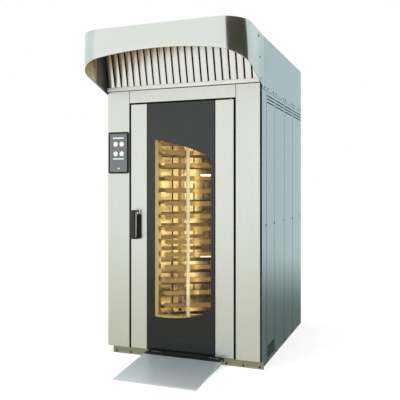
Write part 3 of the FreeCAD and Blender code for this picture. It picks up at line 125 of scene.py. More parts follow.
# Stoved grey enamel: dull, with the faint orange peel of a sprayed coat
frame_paint = finish("frame_paint", "#6E7376", "#62676A", (90, 90, 90), (2, 2, 2), 0.0, (0.45, 0.6), 0.03)
dress(frame_paint, 1.0, "base_frame")

# Plinth
# A stainless strip along the foot of the front, screwed to the base; its dark olive grey is painted shade.

# Dulled stainless sheet, grain across: a weak, wide reflection; its warm grey-green cast is painted shade
plinth_painted_shade = finish("steel_plinth_painted_shade", "#A0A08C", "#92927D", (420, 420, 60), (160, 160, 4), 1.0,
                    (0.38, 0.5), 0.01)
dress(plinth_painted_shade, 1.2, "plinth")

# Pillars and header
# The upright front sheets either side of the door and the strip above it, folded back at their edges.
# Brushed stainless with the grain upright, hung on the frame from behind so that no screw shows.

# Brushed stainless sheet, grain upright: broad soft reflections; the grain is drawn coarser than real
front_steel = finish("steel_brushed_upright", "#E4E7DF", "#DBDED5", (240, 240, 900), (4, 4, 220), 1.0,
                     (0.26, 0.36), 0.006)
dress(front_steel, 2.2, "left_pillar", "right_pillar", "header_panel")
dress(front_steel, 1.0, "front_wall")

# Door gaps and threshold
# Painted shade: matt black strips on the folds that face each other across the gaps round the door, and a
# dark grey one on the fold beside the right pillar, stand in for the shadow in those gaps. The sill that the
# trolley rolls over is painted the same black.


def corners(name):
    """Lowest and highest corner of a CAD piece in mm."""
    return [Vector(corner) * 1000 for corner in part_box(name)]


def piece(name, verts, faces, body, material, smooth=35):
    """A mesh in mm in the oven's frame that rides on a body; edges sharper than smooth degrees stay crisp."""
    mesh = bpy.data.meshes.new(name)
    mesh.from_pydata([[value / 1000 for value in vert] for vert in verts], [], faces)
    shell = bmesh.new()
    shell.from_mesh(mesh)
    bmesh.ops.recalc_face_normals(shell, faces=shell.faces)
    shell.to_mesh(mesh)
    shell.free()
    mesh.shade_smooth()
    mesh.set_sharp_from_angle(angle=math.radians(smooth))
    mesh.materials.append(material)
    made = bpy.data.objects.new(name, mesh)
    scene.collection.objects.link(made)
    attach(made, body)
    return made


def skin(rings):
    """Quads between neighbouring closed rings of points."""
    verts = [point for ring in rings for point in ring]
    count = len(rings[0])
    faces = []
    for row in range(len(rings) - 1):
        for step in range(count):
            after = (step + 1) % count
            faces.append((row * count + step, row * count + after, (row + 1) * count + after,
                          (row + 1) * count + step))
    return verts, faces


def capped(rings):
    """A skin whose first and last rings are filled in."""
    verts, faces = skin(rings)
    count = len(rings[0])
    return verts, faces + [tuple(range(count)), tuple(range(len(verts) - count, len(verts)))]


def strip(name, start, end, across, width, proud, body, material):
    """An extruded strip with a domed face from start to end, width mm across and proud mm off its seat.

    The face looks along the cross product of the strip's run and across.
    """
    start, end, across = Vector(start), Vector(end), Vector(across)
    outward = (end - start).normalized().cross(across)
    half_dome = [(0.5, 0.0), (0.5, 0.45), (0.44, 0.8), (0.3, 0.95)]
    dome = [(-share, rise) for share, rise in half_dome] + [(0.0, 1.0)] + half_dome[::-1]
    rings = [[place + across * (width * share) + outward * (proud * rise) for share, rise in dome]
             for place in (start, end)]
    verts, faces = capped(rings)
    return piece(name, verts, faces, body, material)


# Black silicone: matt, almost no reflection; it also paints the shade in the door gaps and at the sill
rubber_and_gap_shade = finish("silicone_black_and_gap_shade", "#161612", "#0F0F0C", (40, 40, 40), (3, 3, 3), 0.0, (0.6, 0.75), 0.03)
# Painted shade: the sill is painted black for the dark gap under the door
dress(rubber_and_gap_shade, 1.2, "threshold")
pillar_low, pillar_high = corners("left_pillar")
right_low, right_high = corners("right_pillar")
header_low, header_high = corners("header_panel")
door_low, door_high = corners("door_back")
face_y = pillar_low.y
fold_margin = 3.0
fold_middle = (pillar_low.y + pillar_high.y) / 2
fold_width = pillar_high.y - pillar_low.y - 2 * fold_margin
door_edge_middle = face_y + 40.0
door_edge_width = 70.0
gap_low = door_low.z + 1
gap_high = door_high.z - 1
strip_proud = 1.5
# Painted shade: black strips in the gaps round the door stand in for their shadow
for name, x, y, width, body in (("jamb_gap_shade", pillar_high.x, fold_middle, fold_width, "cabinet"),
                                ("door_edge_gap_shade", door_high.x, door_edge_middle, door_edge_width, "door")):
    strip(name, (x, y, gap_low), (x, y, gap_high), (0, -1, 0), width, strip_proud, body, rubber_and_gap_shade)
# Painted shade on the fold beside the right pillar: a dark grey strip, for the groove's shadow, that hardly
# reflects
fold_painted_shade = finish("steel_fold_painted_shade", "#5B6057", "#4E534A", (60, 60, 300), (4, 4, 90), 0.4, (0.45, 0.6),
                   0.01)
strip("pillar_fold_shade", (right_high.x, fold_middle, gap_low), (right_high.x, fold_middle, gap_high),
      (0, -1, 0), fold_width, strip_proud, "cabinet", fold_painted_shade)
# Painted shade: a black strip in the gap over the door
strip("header_gap_shade", (pillar_high.x, fold_middle, header_low.z), (right_low.x, fold_middle, header_low.z),
      (0, -1, 0), fold_width, 2 * strip_proud, "cabinet", rubber_and_gap_shade)

# Thin lines of dark sealant where the header meets the pillars and the trough above
for name, x in (("header_seal_left", pillar_high.x), ("header_seal_right", right_low.x)):
    strip(name, (x, face_y, header_low.z), (x, face_y, header_high.z), (-1, 0, 0), 4.5, 0.3, "cabinet",
          rubber_and_gap_shade)
trough_seal_z = header_high.z - 2
strip("trough_seal", (pillar_low.x, face_y, trough_seal_z), (right_high.x, face_y, trough_seal_z), (0, 0, 1),
      4.0, 0.4, "cabinet", rubber_and_gap_shade)

# Side panels
# Four removable sheets on each side with narrow seams between them, three rows of vent slots along the top,
# pressed louvres low on the second, and one long sheet above; stainless a little duller than the front's,
# screwed to the frame, its cooler, darker tone painted shade and painted reflection.

# Mill-finish stainless with long faint rolling marks; its cooler, darker tone is painted shade and reflection
side_steel_painted_cool = finish("steel_side_painted_cool", "#C6D0D1", "#BAC5C7", (500, 500, 800), (4, 4, 260), 1.0,
                    (0.28, 0.4), 0.006)
dress(side_steel_painted_cool, 0.8, "left_side_panels", "right_side_panels")


def islands(name):
    """Lowest and highest corner, in mm, of each separate solid of a CAD node."""
    shell = bmesh.new()
    shell.from_mesh(cad[name].data)
    bmesh.ops.remove_doubles(shell, verts=shell.verts, dist=weld_reach)
    left = set(shell.verts)
    found = []
    while left:
        stack = [left.pop()]
        island = []
        while stack:
            vert = stack.pop()
            island.append(vert.co * 1000)
            for edge in vert.link_edges:
                other = edge.other_vert(vert)
                if other in left:
                    left.discard(other)
                    stack.append(other)
        found.append((Vector([min(point[axis] for point in island) for axis in range(3)]),
                      Vector([max(point[axis] for point in island) for axis in range(3)])))
    shell.free()
    return sorted(found, key=lambda box: tuple(round(value, 2) for value in box[0]))


# Dark sealant fills the seams between the sheets: matt, a shade lighter than the rubber
seam_filler = finish("sealant_dark", "#2A302F", "#1F2423", (40, 40, 300), (3, 3, 20), 0.0, (0.6, 0.75), 0.0,
                     **{"Specular IOR Level": 0.1})
seam_width = 7.0
least_sheet_height = 1500.0
for side, name in ((-1, "left_side_panels"), (1, "right_side_panels")):
    sheets = [box for box in islands(name) if box[1].z - box[0].z > least_sheet_height]
    sheets.sort(key=lambda box: box[0].y)
    seat = max(abs(corner.x) for box in sheets for corner in box) * side
    for number in range(len(sheets) - 1):
        low, high = sheets[number]
        seam = (high.y + sheets[number + 1][0].y) / 2
        strip(name + "_seam_%d" % (number + 1), (seat, seam, low.z), (seat, seam, high.z), (0, -side, 0),
              seam_width, 0.4, "cabinet", seam_filler)

# Painted shade in the slots: a matt black sheet behind them, so dull that the slots stay dark
slot_shade = finish("slot_shade_black", "#161715", "#0D0E0C", (30, 30, 30), (1.5, 1.5, 1.5), 0.0, (0.7, 0.85), 0.2,
               **{"Specular IOR Level": 0.0})
panel_high = corners("right_side_panels")[1]
vent_seat = panel_high.x - 3.4
vent_middle = 2091.0
vent_span = (-640.0, 770.0)
vent_height = 74.0
louvre_seat = panel_high.x - 0.5
louvre_span = (-609.0, -379.0)
louvre_count = 5
louvre_lowest = 50.0
louvre_pitch = 20.0
louvre_height = 13.0
for side, name in ((-1, "left"), (1, "right")):
    # Run forward on the left and backward on the right, so that the painted shade faces outward on both
    start, end = vent_span[::side]
    strip("vent_slot_shade_" + name, (side * vent_seat, start, vent_middle), (side * vent_seat, end, vent_middle),
          (0, 0, 1), vent_height, 1.0, "cabinet", slot_shade)
# The foot louvres' painted shade lies on the sheet's face, with a narrow rim over the slot
for side, name in ((-1, "left"), (1, "right")):
    start, end = louvre_span[::side]
    foot = corners(name + "_side_panels")[0].z
    for row in range(louvre_count):
        height = foot + louvre_lowest + louvre_pitch * row
        strip("louvre_slot_shade_%s_%d" % (name, row + 1), (side * louvre_seat, start, height),
              (side * louvre_seat, end, height), (0, 0, 1), louvre_height, 0.8, "cabinet", slot_shade)

# Rear panels and roof
# Flat stainless sheets in the sides' finish and its painted shade that close the back and the top, screwed to
# the frame; the roof carries the two duct spigots.
dress(side_steel_painted_cool, 0.8, "rear_panels", "roof_panel")

# Panel screws
# Domed screws that hold the sheets, driven home on them, with a hexagon socket for the key; cold-headed
# from steel and blackened.

# Black oxide: a dark oiled skin that glints on its rims
black_oxide = finish("steel_black_oxide", "#151613", "#0D0E0B", (12, 12, 12), (2, 2, 2), 0.0, (0.5, 0.65),
                     0.0, **{"Specular IOR Level": 0.1})
head_steps = 24
head_radius = 8.5
head_height = 2.6
socket_radius = 2.6
# Radius, height above the sheet and whether the ring is the key's hexagon
head_profile = [(head_radius, 0.0, False), (head_radius, 0.7, False), (7.6, 1.7, False), (6.0, 2.4, False),
                (3.6, head_height, False), (socket_radius, head_height, True), (socket_radius, 1.0, True),
                (0.1, 0.8, True)]


def screw_head(seat, outward):
    """A domed head on its seat, with the key's hexagon in its top."""
    across = outward.orthogonal().normalized()
    along = outward.cross(across)
    rings = []
    for radius, height, hexagon in head_profile:
        ring = []
        for step in range(head_steps):
            angle = math.radians(360 / head_steps * step)
            reach = radius
            if hexagon:
                reach *= math.cos(math.radians(30)) / math.cos(angle % math.radians(60) - math.radians(30))
            way = across * math.cos(angle) + along * math.sin(angle)
            ring.append(seat + outward * height + way * reach)
        rings.append(ring)
    return skin(rings)


def joined(shapes):
    """Several skins as one list of points and one of faces."""
    points = []
    sides = []
    for verts, faces in shapes:
        sides += [tuple(index + len(points) for index in one) for one in faces]
        points += [Vector(vert) for vert in verts]
    return points, sides


heads = []
for low, high in islands("panel_screws"):
    size = high - low
    axis = min(range(3), key=lambda number: size[number])
    seat = (low + high) / 2
    outward = Vector((0, 0, 0))
    outward[axis] = 1.0 if seat[axis] > 0 else -1.0
    seat[axis] = low[axis] if outward[axis] > 0 else high[axis]
    heads.append(screw_head(seat, outward))
verts, faces = joined(heads)
screws = piece("socket_screws", verts, faces, "cabinet", black_oxide)
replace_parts(screws, "panel_screws")

# Hood
# A stainless band bent round the front over the door, with round corners; its lower edge rises to the front,
# arches over the middle and is folded in to a hem. It is screwed to the cabinet's sides by two short flanges.


def paint_light_and_shade(material, code, start, end):
    """Blends a colour of painted light and shade into a finish, none at start and full at end, two points in
    mm.
    """
    tree = material.node_tree
    shader = tree.nodes["Principled BSDF"]
    own_tone = shader.inputs["Base Color"].links[0].from_socket
    way = Vector(end) - Vector(start)
    way /= way.length_squared
    place = add(tree, "ShaderNodeTexCoord", {}).outputs["Object"]
    along = add(tree, "ShaderNodeVectorMath", {0: place, 1: way * 1000}, operation="DOT_PRODUCT")
    clear = Vector(start).dot(way)
    share = add(tree, "ShaderNodeMapRange", {"Value": along.outputs["Value"], "From Min": clear,
                                             "From Max": clear + 1})
    mixed = add(tree, "ShaderNodeMix", {"Factor": share.outputs[0], 6: own_tone, 7: linear(code)},
                data_type="RGBA")
    tree.links.new(mixed.outputs[2], shader.inputs["Base Color"])
    return material


# Brushed stainless sheet, grain across: pale, softly streaked reflections; painted cooler and darker toward
# the cabinet as painted reflection
cross_steel = paint_light_and_shade(finish("steel_brushed_across", "#E2E6E0", "#D9DDD7", (700, 700, 200), (220, 220, 4), 1.0,
                           (0.14, 0.2), 0.002), "#C2CDCE", (0, -960, 0), (0, -790, 0))
# The same sheet inside the hood, with a tan film of steam and flour, painted paler than clean steel as a warm
# painted highlight
stain_and_highlight_steel = finish("steel_stain_and_highlight", "#FFF1CE", "#FBE6BC", (120, 120, 90), (20, 20, 12), 1.0,
                       (0.16, 0.26), 0.02)
# Its flat sides: painted shade, a plain grey for the deep shade they lie in
shaded_steel = finish("steel_hood_side_shade", "#8B8C86", "#777872", (160, 160, 120), (20, 20, 12), 0.5,
                      (0.4, 0.55), 0.01)

band_low, band_high = corners("hood_band")
hood_half = band_high.x
hood_front = band_low.y
hood_back = band_high.y
hood_low = band_low.z
roof = corners("roof_panel")[1].z
hood_corner = 200.0
hood_rise = 0.32
hood_arch = 75.0
arch_radius = (hood_half ** 2 + hood_arch ** 2) / (2 * hood_arch)


def hood_edge(x, y):
    """Height of the hood's lower edge."""
    return (hood_low + hood_rise * (hood_back - y)
            + math.sqrt(arch_radius ** 2 - x ** 2) - (arch_radius - hood_arch))


def hood_crest(y):
    """Height of the hood's top edge, level at the roof and rising to the front."""
    return roof + (band_high.z - roof) * max(0.0, (face_y - y) / (face_y - hood_front))


side_steps = 12
corner_steps = 16
front_steps = 24
corner_y = hood_front + hood_corner
straight = hood_half - hood_corner
# Half the hood's plan from its left flange to the middle: x, y and the way that the sheet faces
half_plan = [(-hood_half, hood_back + (corner_y - hood_back) * step / side_steps, -1.0, 0.0)
             for step in range(side_steps)]
for step in range(corner_steps + 1):
    angle = math.radians(90 * step / corner_steps)
    half_plan.append((-straight - hood_corner * math.cos(angle), corner_y - hood_corner * math.sin(angle),
                      -math.cos(angle), -math.sin(angle)))
half_plan += [(-straight + 2 * straight * step / front_steps, hood_front, 0.0, -1.0)
              for step in range(1, front_steps // 2 + 1)]
hood_plan = half_plan + [(-x, y, -out_x, out_y) for x, y, out_x, out_y in reversed(half_plan[:-1])]
rings = []
for x, y, out_x, out_y in hood_plan:
    low = hood_edge(x, y)
    top = hood_crest(y)
    # The sheet's section: mm in from its outer face, and height; down the inner face to the folded hem
    section = [(0, top - 2), (0.6, top - 0.6), (2, top), (2, low + 14.5), (3.6, low + 14.2), (5, low + 13),
               (5, low + 2.5), (4.3, low + 0.7), (2.5, low), (0.7, low + 0.7), (0, low + 2.5)]
    rings.append([(x - out_x * inset, y - out_y * inset, height) for inset, height in section])
verts, faces = capped(rings)
band = piece("hood_skirt", verts, faces, "cabinet", cross_steel, 50)
band.data.materials.append(stain_and_highlight_steel)
band.data.materials.append(shaded_steel)
# The inner face is the section's third side; its first and last rows lie on the hood's flat sides
inner_side = 2
flat_rows = 8
rows = len(hood_plan) - 1
for row in range(rows):
    flat = row < flat_rows or row >= rows - flat_rows
    band.data.polygons[row * len(rings[0]) + inner_side].material_index = 2 if flat else 1
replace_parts(band, "hood_band")
# Dark sealant along the flanges' rear edges
flange_y = hood_back + 2
for side, name in ((-1, "flange_seal_left"), (1, "flange_seal_right")):
    strip(name, (side * panel_high.x, flange_y, hood_low), (side * panel_high.x, flange_y, roof),
          (0, -side, 0), 12.0, 0.8, "cabinet", seam_filler)
dress(cross_steel, 0.8, "hood_top")

# Steam filter and drip trough
# A row of folded baffles that leans in the hood's mouth and lifts out for washing, over a trough that
# catches what drips from it; all stainless, brighter than the sheets because it is washed often.

# Bright annealed stainless: sharper reflections than the brushed sheets
bright_steel = finish("steel_bright_annealed", "#E6E6DF", "#D9D8D0", (60, 60, 220), (3, 3, 90), 1.0,
                      (0.18, 0.28), 0.004)
# The trough's steel, painted paler as painted light for a face in shade, with a soft milky sheen
trough_painted_light = finish("steel_trough_painted_light", "#FBFBF3", "#F4F4EB", (300, 60, 60), (120, 4, 4), 1.0, (0.3, 0.4), 0.004)
dress(trough_painted_light, 1.0, "drip_trough")

# Bright annealed stainless again, painted browner at the filter's upper left as a painted reflection of the
# hood's tan
filter_steel = paint_light_and_shade(finish("steel_filter", "#F2F2EC", "#E6E5DD", (60, 60, 220), (3, 3, 90), 1.0, (0.2, 0.3),
                            0.003), "#8C6A45", (-500, -850, 2330), (-540, -850, 2542))
filter_low, filter_high = corners("steam_filter")
filter_width = filter_high.x - filter_low.x
lean = math.radians(13.8)
upward = Vector((0, -math.sin(lean), math.cos(lean)))
forward = Vector((0, -math.cos(lean), -math.sin(lean)))
trough_sheet = 2.0
rail = 16.0
baffle_height = 312.0
baffle_count = 22
baffle_width = 48.0
pitch = filter_width / baffle_count
# The lower rail's lowest edge rests on the trough's floor
filter_foot = Vector((0, face_y - rail, pillar_high.z + trough_sheet + rail * math.cos(lean)
                      + rail / 2 * math.sin(lean)))
# Half a baffle's folded section: share of its width from the ridge, and height over the filter's middle in mm
half_section = [(0.0, 5.5), (0.1, 5.1), (0.42, 3.4), (0.48, 2.2), (0.5, 0.0), (0.5, -7.0)]
baffle_section = [(-share, height) for share, height in reversed(half_section[1:])] + half_section
rail_section = [(-0.5, -8.0), (-0.5, 7.0), (-0.4995, 8.0), (0.4995, 8.0), (0.5, 7.0), (0.5, -8.0)]


def filter_bar(section, x, width, low, high):
    """A straight bar of the filter round x, from low to high mm up its slope."""
    middle = filter_foot + Vector((x, 0, 0))
    return capped([[middle + Vector((width * share, 0, 0)) + forward * height + upward * level
                    for share, height in section] for level in (low, high)])


bars = [filter_bar(baffle_section, filter_low.x + (number + 0.5) * pitch, baffle_width, 0.0, baffle_height)
        for number in range(baffle_count)]
for low in (-rail, baffle_height):
    bars.append(filter_bar(rail_section, (filter_low.x + filter_high.x) / 2, filter_width, low, low + rail))
verts, faces = joined(bars)
baffles = piece("steam_baffles", verts, faces, "cabinet", filter_steel, 25)
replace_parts(baffles, "steam_filter")

# Touch panel
# A black moulded frame, set on the left pillar round a grey touch glass with a black border. On the glass
# are four lit round keys, two lit bars and a lamp.

# Moulded black plastic: a satin skin with a fine spark texture
black_plastic = finish("plastic_satin_black", "#111212", "#0B0C0C", (40, 40, 40), (1.5, 1.5, 1.5), 0.0,
                       (0.45, 0.6), 0.02, **{"Specular IOR Level": 0.3})
dress(black_plastic, 2.0, "control_bezel")

# Tinted touch glass over a grey-blue backing: glossy, with faint wipe marks
screen_glass = finish("touch_glass_grey", "#868C90", "#787E82", (160, 160, 110), (14, 14, 30), 0.0,
                      (0.05, 0.16), 0.0)
dress(screen_glass, 0.4, "control_glass")


def lit(name, code, strength, veil):
    """A diffuser that glows in its own colour, uneven over veil mm as one with a lamp behind it is."""
    material = bpy.data.materials.new(name)
    material.use_nodes = True
    tree = material.node_tree
    shader = tree.nodes["Principled BSDF"]
    place = add(tree, "ShaderNodeTexCoord", {}).outputs["Object"]
    cloud = add(tree, "ShaderNodeTexNoise", {"Vector": place, "Scale": 1000 / veil, "Detail": 1.0})
    glow = add(tree, "ShaderNodeMapRange", {"Value": cloud.outputs["Fac"], "To Min": 0.85 * strength,
                                            "To Max": 1.15 * strength})
    shader.inputs["Base Color"].default_value = linear(code)
    shader.inputs["Roughness"].default_value = 0.4
    shader.inputs["Emission Color"].default_value = linear(code)
    tree.links.new(glow.outputs[0], shader.inputs["Emission Strength"])
    return material


def rounded(left, right, bottom, top, corner, levels):
    """Rings of rounded rectangles that face the front, each set in by so many mm at its own depth."""
    quarter_steps = 6
    rings = []
    for inset, depth in levels:
        radius = corner - inset
        ring = []
        for x, z, start in ((right - corner, top - corner, 0), (left + corner, top - corner, 90),
                            (left + corner, bottom + corner, 180), (right - corner, bottom + corner, 270)):
            for step in range(quarter_steps + 1):
                angle = math.radians(start + 90 / quarter_steps * step)
                ring.append((x + radius * math.cos(angle), depth, z + radius * math.sin(angle)))
        rings.append(ring)
    return rings


# Black border printed round the touch glass
glass_low, glass_high = corners("control_glass")
border_width = 5.0
border_front = glass_low.y - 0.3
glass_corner = 8.0
border_levels = [(0.0, glass_low.y), (0.0, border_front), (border_width, border_front),
                 (border_width, glass_low.y)]
border = rounded(glass_low.x, glass_high.x, glass_low.z, glass_high.z, glass_corner, border_levels)
verts, faces = skin(border)
piece("touch_border", verts, faces, "cabinet", black_plastic)

# The keys from the lowest left to the highest right: diffusers, each with a faint glow in a tint of its own
key_colours = {"key_steam": "#DCE8DE", "key_heat": "#EBDEDC", "key_fan": "#DADEEC", "key_light": "#ECEBD6"}
key_steps = 48
key_turns = [math.radians(360 / key_steps * step) for step in range(key_steps)]
for (name, code), (low, high) in zip(key_colours.items(), islands("control_icons")):
    middle = (low + high) / 2
    radius = (high.x - low.x) / 2
    rings = []
    # A shallow dome: mm in from the key's rim, and mm forward of its seat
    for inset, proud in ((0.0, 0.0), (0.0, 0.5), (0.5, 0.9), (6.0, 1.1), (radius - 0.2, 1.15)):
        rings.append([(middle.x + (radius - inset) * math.cos(turn), high.y - proud,
                       middle.z + (radius - inset) * math.sin(turn)) for turn in key_turns])
    verts, faces = skin(rings)
    key = piece(name, verts, faces, "cabinet", lit(name + "_glow", code, 0.45, 14))
# The last key made stands for the node, which the four replace together
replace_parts(key, "control_icons")

# Lit bars over and under the keys, and the lamp that tells when the oven is ready: a weak, cool white glow
bar_glow = lit("bar_glow", "#DDE3E4", 0.3, 25)
# Each one's ends in mm from the glass's left edge, its height over the floor and its width
for name, left, right, height, width in (("upper_bar", 36, 138, 1803, 13), ("lower_bar", 36, 138, 1629, 11),
                                         ("ready_lamp", 78, 100, 1549, 9)):
    strip(name, (glass_low.x + left, glass_low.y, height), (glass_low.x + right, glass_low.y, height),
          (0, 0, 1), width, 0.6, "cabinet", bar_glow)

# Chamber
# The stainless baking chamber: welded liner, floor, and the slotted air wall and corner columns that spread
# the hot air. Heat has tinted the steel straw-gold.

# Heat-tinted stainless: straw-gold, almost a mirror, with darker blooms where it ran hottest
liner_steel = finish("steel_heat_tinted", "#F4EACD", "#E2D1A8", (260, 260, 380), (5, 5, 160), 1.0, (0.1, 0.2),
                     0.002)
dress(liner_steel, 0.8, "chamber_liner", "air_panels")

# Painted shade behind the slots of the corner columns: matt black strips that keep them dark
column_x = 540.0
column_y = 286.0
column_low = 110.0
column_high = 1950.0
slot_width = 24.0
# The columns cut the corners off, so x and y both change across a slot
slot_slant = (-0.49, 0.8716)
for side, name in ((-1, "column_slot_shade_left"), (1, "column_slot_shade_right")):
    strip(name, (side * column_x, column_y, column_low), (side * column_x, column_y, column_high),
          (slot_slant[0], side * slot_slant[1], 0), slot_width, 0.6, "cabinet", slot_shade)

# Insulation
# Mineral wool slabs round the chamber, cut to fit and packed between its liner and the outer panels.
# They keep the heat in and carry nothing.

# Felted mineral wool: yellow-brown and fuzzy, without any sheen
wool = finish("mineral_wool", "#A8986A", "#8E7E52", (30, 30, 30), (3, 3, 3), 0.0, (0.9, 1.0), 0.8)
dress(wool, 0.0, "insulation")

# Lamps
# Two tubular lamps of heat-proof glass in folded housings in the chamber's right front corner. Two glowing
# strips on the air wall are painted glints, the lamps' reflections that show as bright slits behind the
# runners.

# Frosted glass with a filament behind it: an even warm white glow, which also paints the glints
lamp_and_glint_glow = lit("lamp_and_glint_glow", "#FFE9C4", 6.0, 60)
dress(lamp_and_glint_glow, 0.0, "lamp_tubes")
glint_left = -279.0
glint_right = -165.0
glint_height = 32.0
wall_y = 422.8
# Painted glints: warm glowing strips on the air wall where the lamps' reflections show
for name, height in (("painted_glint_upper", 1500), ("painted_glint_lower", 675)):
    strip(name, (glint_left, wall_y, height), (glint_right, wall_y, height), (0, 0, 1), glint_height, 2.0,
          "cabinet", lamp_and_glint_glow)

# Heating, steam and exhaust
# Tubular heaters in steel sheaths, bent to hairpins and hung on a shelf behind the air wall, a cascade of
# welded trays for steam, and the folded duct and fan housing that vent chamber and hood through the roof.

# Scaled heater sheath: a dark brown oxide that still glints like metal
heater_steel = finish("heater_sheath", "#6B5F55", "#4C443E", (25, 25, 40), (3, 3, 20), 0.85, (0.4, 0.6), 0.02)
dress(heater_steel, 0.0, "heating_elements")
dress(liner_steel, 0.6, "steam_generator")
dress(side_steel_painted_cool, 0.6, "exhaust_duct", "hood_fan_housing", "damper_flap")

# Drives and electrics
# The rack's gearmotor and the hot-air fan's motor, in cast iron, and the painted electrics box are bolted to
# the machine deck. The two fan wheels, of bright steel, sit on their motors' shafts.

# Sprayed motor enamel over cast iron: blue-grey, with an orange peel
motor_paint = finish("motor_enamel", "#3F5563", "#354956", (60, 60, 60), (2, 2, 2), 0.0, (0.35, 0.5), 0.03)
dress(motor_paint, 0.8, "fan_motor", "rack_gearmotor")
dress(frame_paint, 0.8, "electrics")
dress(bright_steel, 0.0, "fan_impeller", "hood_fan_impeller")

# Turntable, drive shaft and trolley
# The trolley of welded tubes and folded runners stands on the turntable, under the drive fork that turns it.
# Its castors have forks of pressed steel and wheels of moulded resin.

# Scrubbed trolley steel: bright and warm, with dull patches left by trays and scouring, and painted darker
# toward the far side as painted shade
trolley_steel = paint_light_and_shade(finish("steel_scrubbed", "#8E897A", "#7E755F", (90, 90, 140), (4, 4, 60), 1.0,
                             (0.1, 0.2), 0.002), "#6B5534", (0, -107, 0), (-80, 31, 0))
dress(trolley_steel, 0.8, "trolley_frame", "castor_mounts", "swivel_fork_near", "swivel_fork_far")
# Runners baked through a thousand batches: deeper gold, bright where trays rub the folds
runner_steel = finish("steel_baked_gold", "#65522F", "#504025", (140, 140, 60), (60, 60, 4), 1.0, (0.1, 0.2),
                      0.003)
dress(runner_steel, 1.6, "trolley_runners")
dress(liner_steel, 0.8, "turntable")

# Ground steel: bright turned pins and shafts under a film of grease
pin_steel = finish("steel_ground", "#B9BABA", "#A5A6A7", (20, 20, 20), (40, 40, 1), 1.0, (0.2, 0.32), 0.0)
dress(pin_steel, 0.4, "drive_shaft", "floor_bearing", "door_pivots", "door_fittings")

# Heat-proof resin: brown-black and dull, rubbed by the floor
castor_resin = finish("castor_resin", "#2A2623", "#1F1C1A", (25, 25, 25), (2, 2, 2), 0.0, (0.5, 0.65), 0.03)
dress(castor_resin, 1.5, "castor_wheel_1", "castor_wheel_2", "castor_wheel_3", "castor_wheel_4")

# Door
# Two brushed stainless stiles either side of a full-height glass that is printed dark round an arched window.
# Behind it a core and a back sheet carry the inner glass in its frame and the rubber seal. The door hangs on
# pivots at its right.
dress(front_steel, 2.2, "door_left_stile", "door_right_stile")
dress(liner_steel, 1.0, "door_back")
# Heat-tinted sheet round the window's reveal, dulled by years of wiping
reveal_steel = finish("steel_reveal", "#EFDCB0", "#DDC796", (120, 120, 400), (4, 4, 120), 0.3, (0.3, 0.42),
                      0.002)
dress(reveal_steel, 1.0, "door_core")
dress(rubber_and_gap_shade, 2.0, "door_gasket")

# Fired enamel on the glass: glossy charcoal with a green cast, painted darker toward the foot as painted
# shade
glass_print = paint_light_and_shade(finish("enamel_print", "#373D3A", "#2E3330", (300, 300, 500), (20, 20, 60), 0.0,
                           (0.06, 0.12), 0.0), "#161A18", (0, face_y, 1700), (0, face_y, 300))
pane_low, pane_high = corners("door_outer_glass")
print_proud = 0.4
print_step = Vector((0, pane_low.y - print_proud - corners("door_print")[0].y, 0))
plan = cad["door_print"].data
enamel = piece("glass_enamel", [vert.co * 1000 + print_step for vert in plan.vertices],
               [tuple(one.vertices) for one in plan.polygons], "door", glass_print)
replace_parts(enamel, "door_print")


def glazing(name, tint, smear, index):
    """Clear float glass with a faint greasy film, smears smear mm long, that varies its gloss."""
    material = bpy.data.materials.new(name)
    material.use_nodes = True
    tree = material.node_tree
    shader = tree.nodes["Principled BSDF"]
    place = add(tree, "ShaderNodeTexCoord", {}).outputs["Object"]
    film = add(tree, "ShaderNodeTexNoise", {"Vector": place, "Scale": 1000 / smear, "Detail": 2.0})
    gloss = add(tree, "ShaderNodeMapRange", {"Value": film.outputs["Fac"], "From Min": 0.4, "From Max": 0.8,
                                             "To Min": 0.0, "To Max": 0.03})
    tree.links.new(gloss.outputs[0], shader.inputs["Roughness"])
    shader.inputs["Base Color"].default_value = linear(tint)
    shader.inputs["Transmission Weight"].default_value = 1.0
    shader.inputs["IOR"].default_value = index
    return material


# Both panes are coated so that they throw back little of the room, the inner one, for the heat, still less
dress(glazing("float_glass_coated", "#F6F8F6", 180, 1.22), 0.0, "door_outer_glass")
dress(glazing("heat_glass_coated", "#FAFBF8", 120, 1.1), 0.0, "door_inner_glass")

# The glass sits in black sealant, with a bright bead on the left stile beside it
seal_width = 6.0
bead_width = 9.0
bead_gap = 1.0
for name, x in (("glass_seal_left", pane_low.x + seal_width / 2),
                ("glass_seal_right", pane_high.x - seal_width / 2)):
    strip(name, (x, pane_low.y, pane_low.z), (x, pane_low.y, pane_high.z), (-1, 0, 0), seal_width, 0.8,
          "door", rubber_and_gap_shade)
bead_x = pane_low.x - bead_gap - bead_width / 2
strip("glass_bead", (bead_x, pane_low.y, pane_low.z), (bead_x, pane_low.y, pane_high.z), (-1, 0, 0),
      bead_width, 1.6, "door", bright_steel)

# Handle
# A black moulded body screwed to the left stile, with a chromed cap, and a charcoal grip on two arms that
# swings to unlatch. The grip turns on pins in the cap and in a lug at the body's foot.


def block(left, right, bottom, top, corner, back, front, edge):
    """A moulded block from back to front with round corners and a rounded front edge."""
    levels = [(0.0, back), (0.0, front + edge), (0.3 * edge, front + 0.3 * edge), (edge, front)]
    return capped(rounded(left, right, bottom, top, corner, levels))


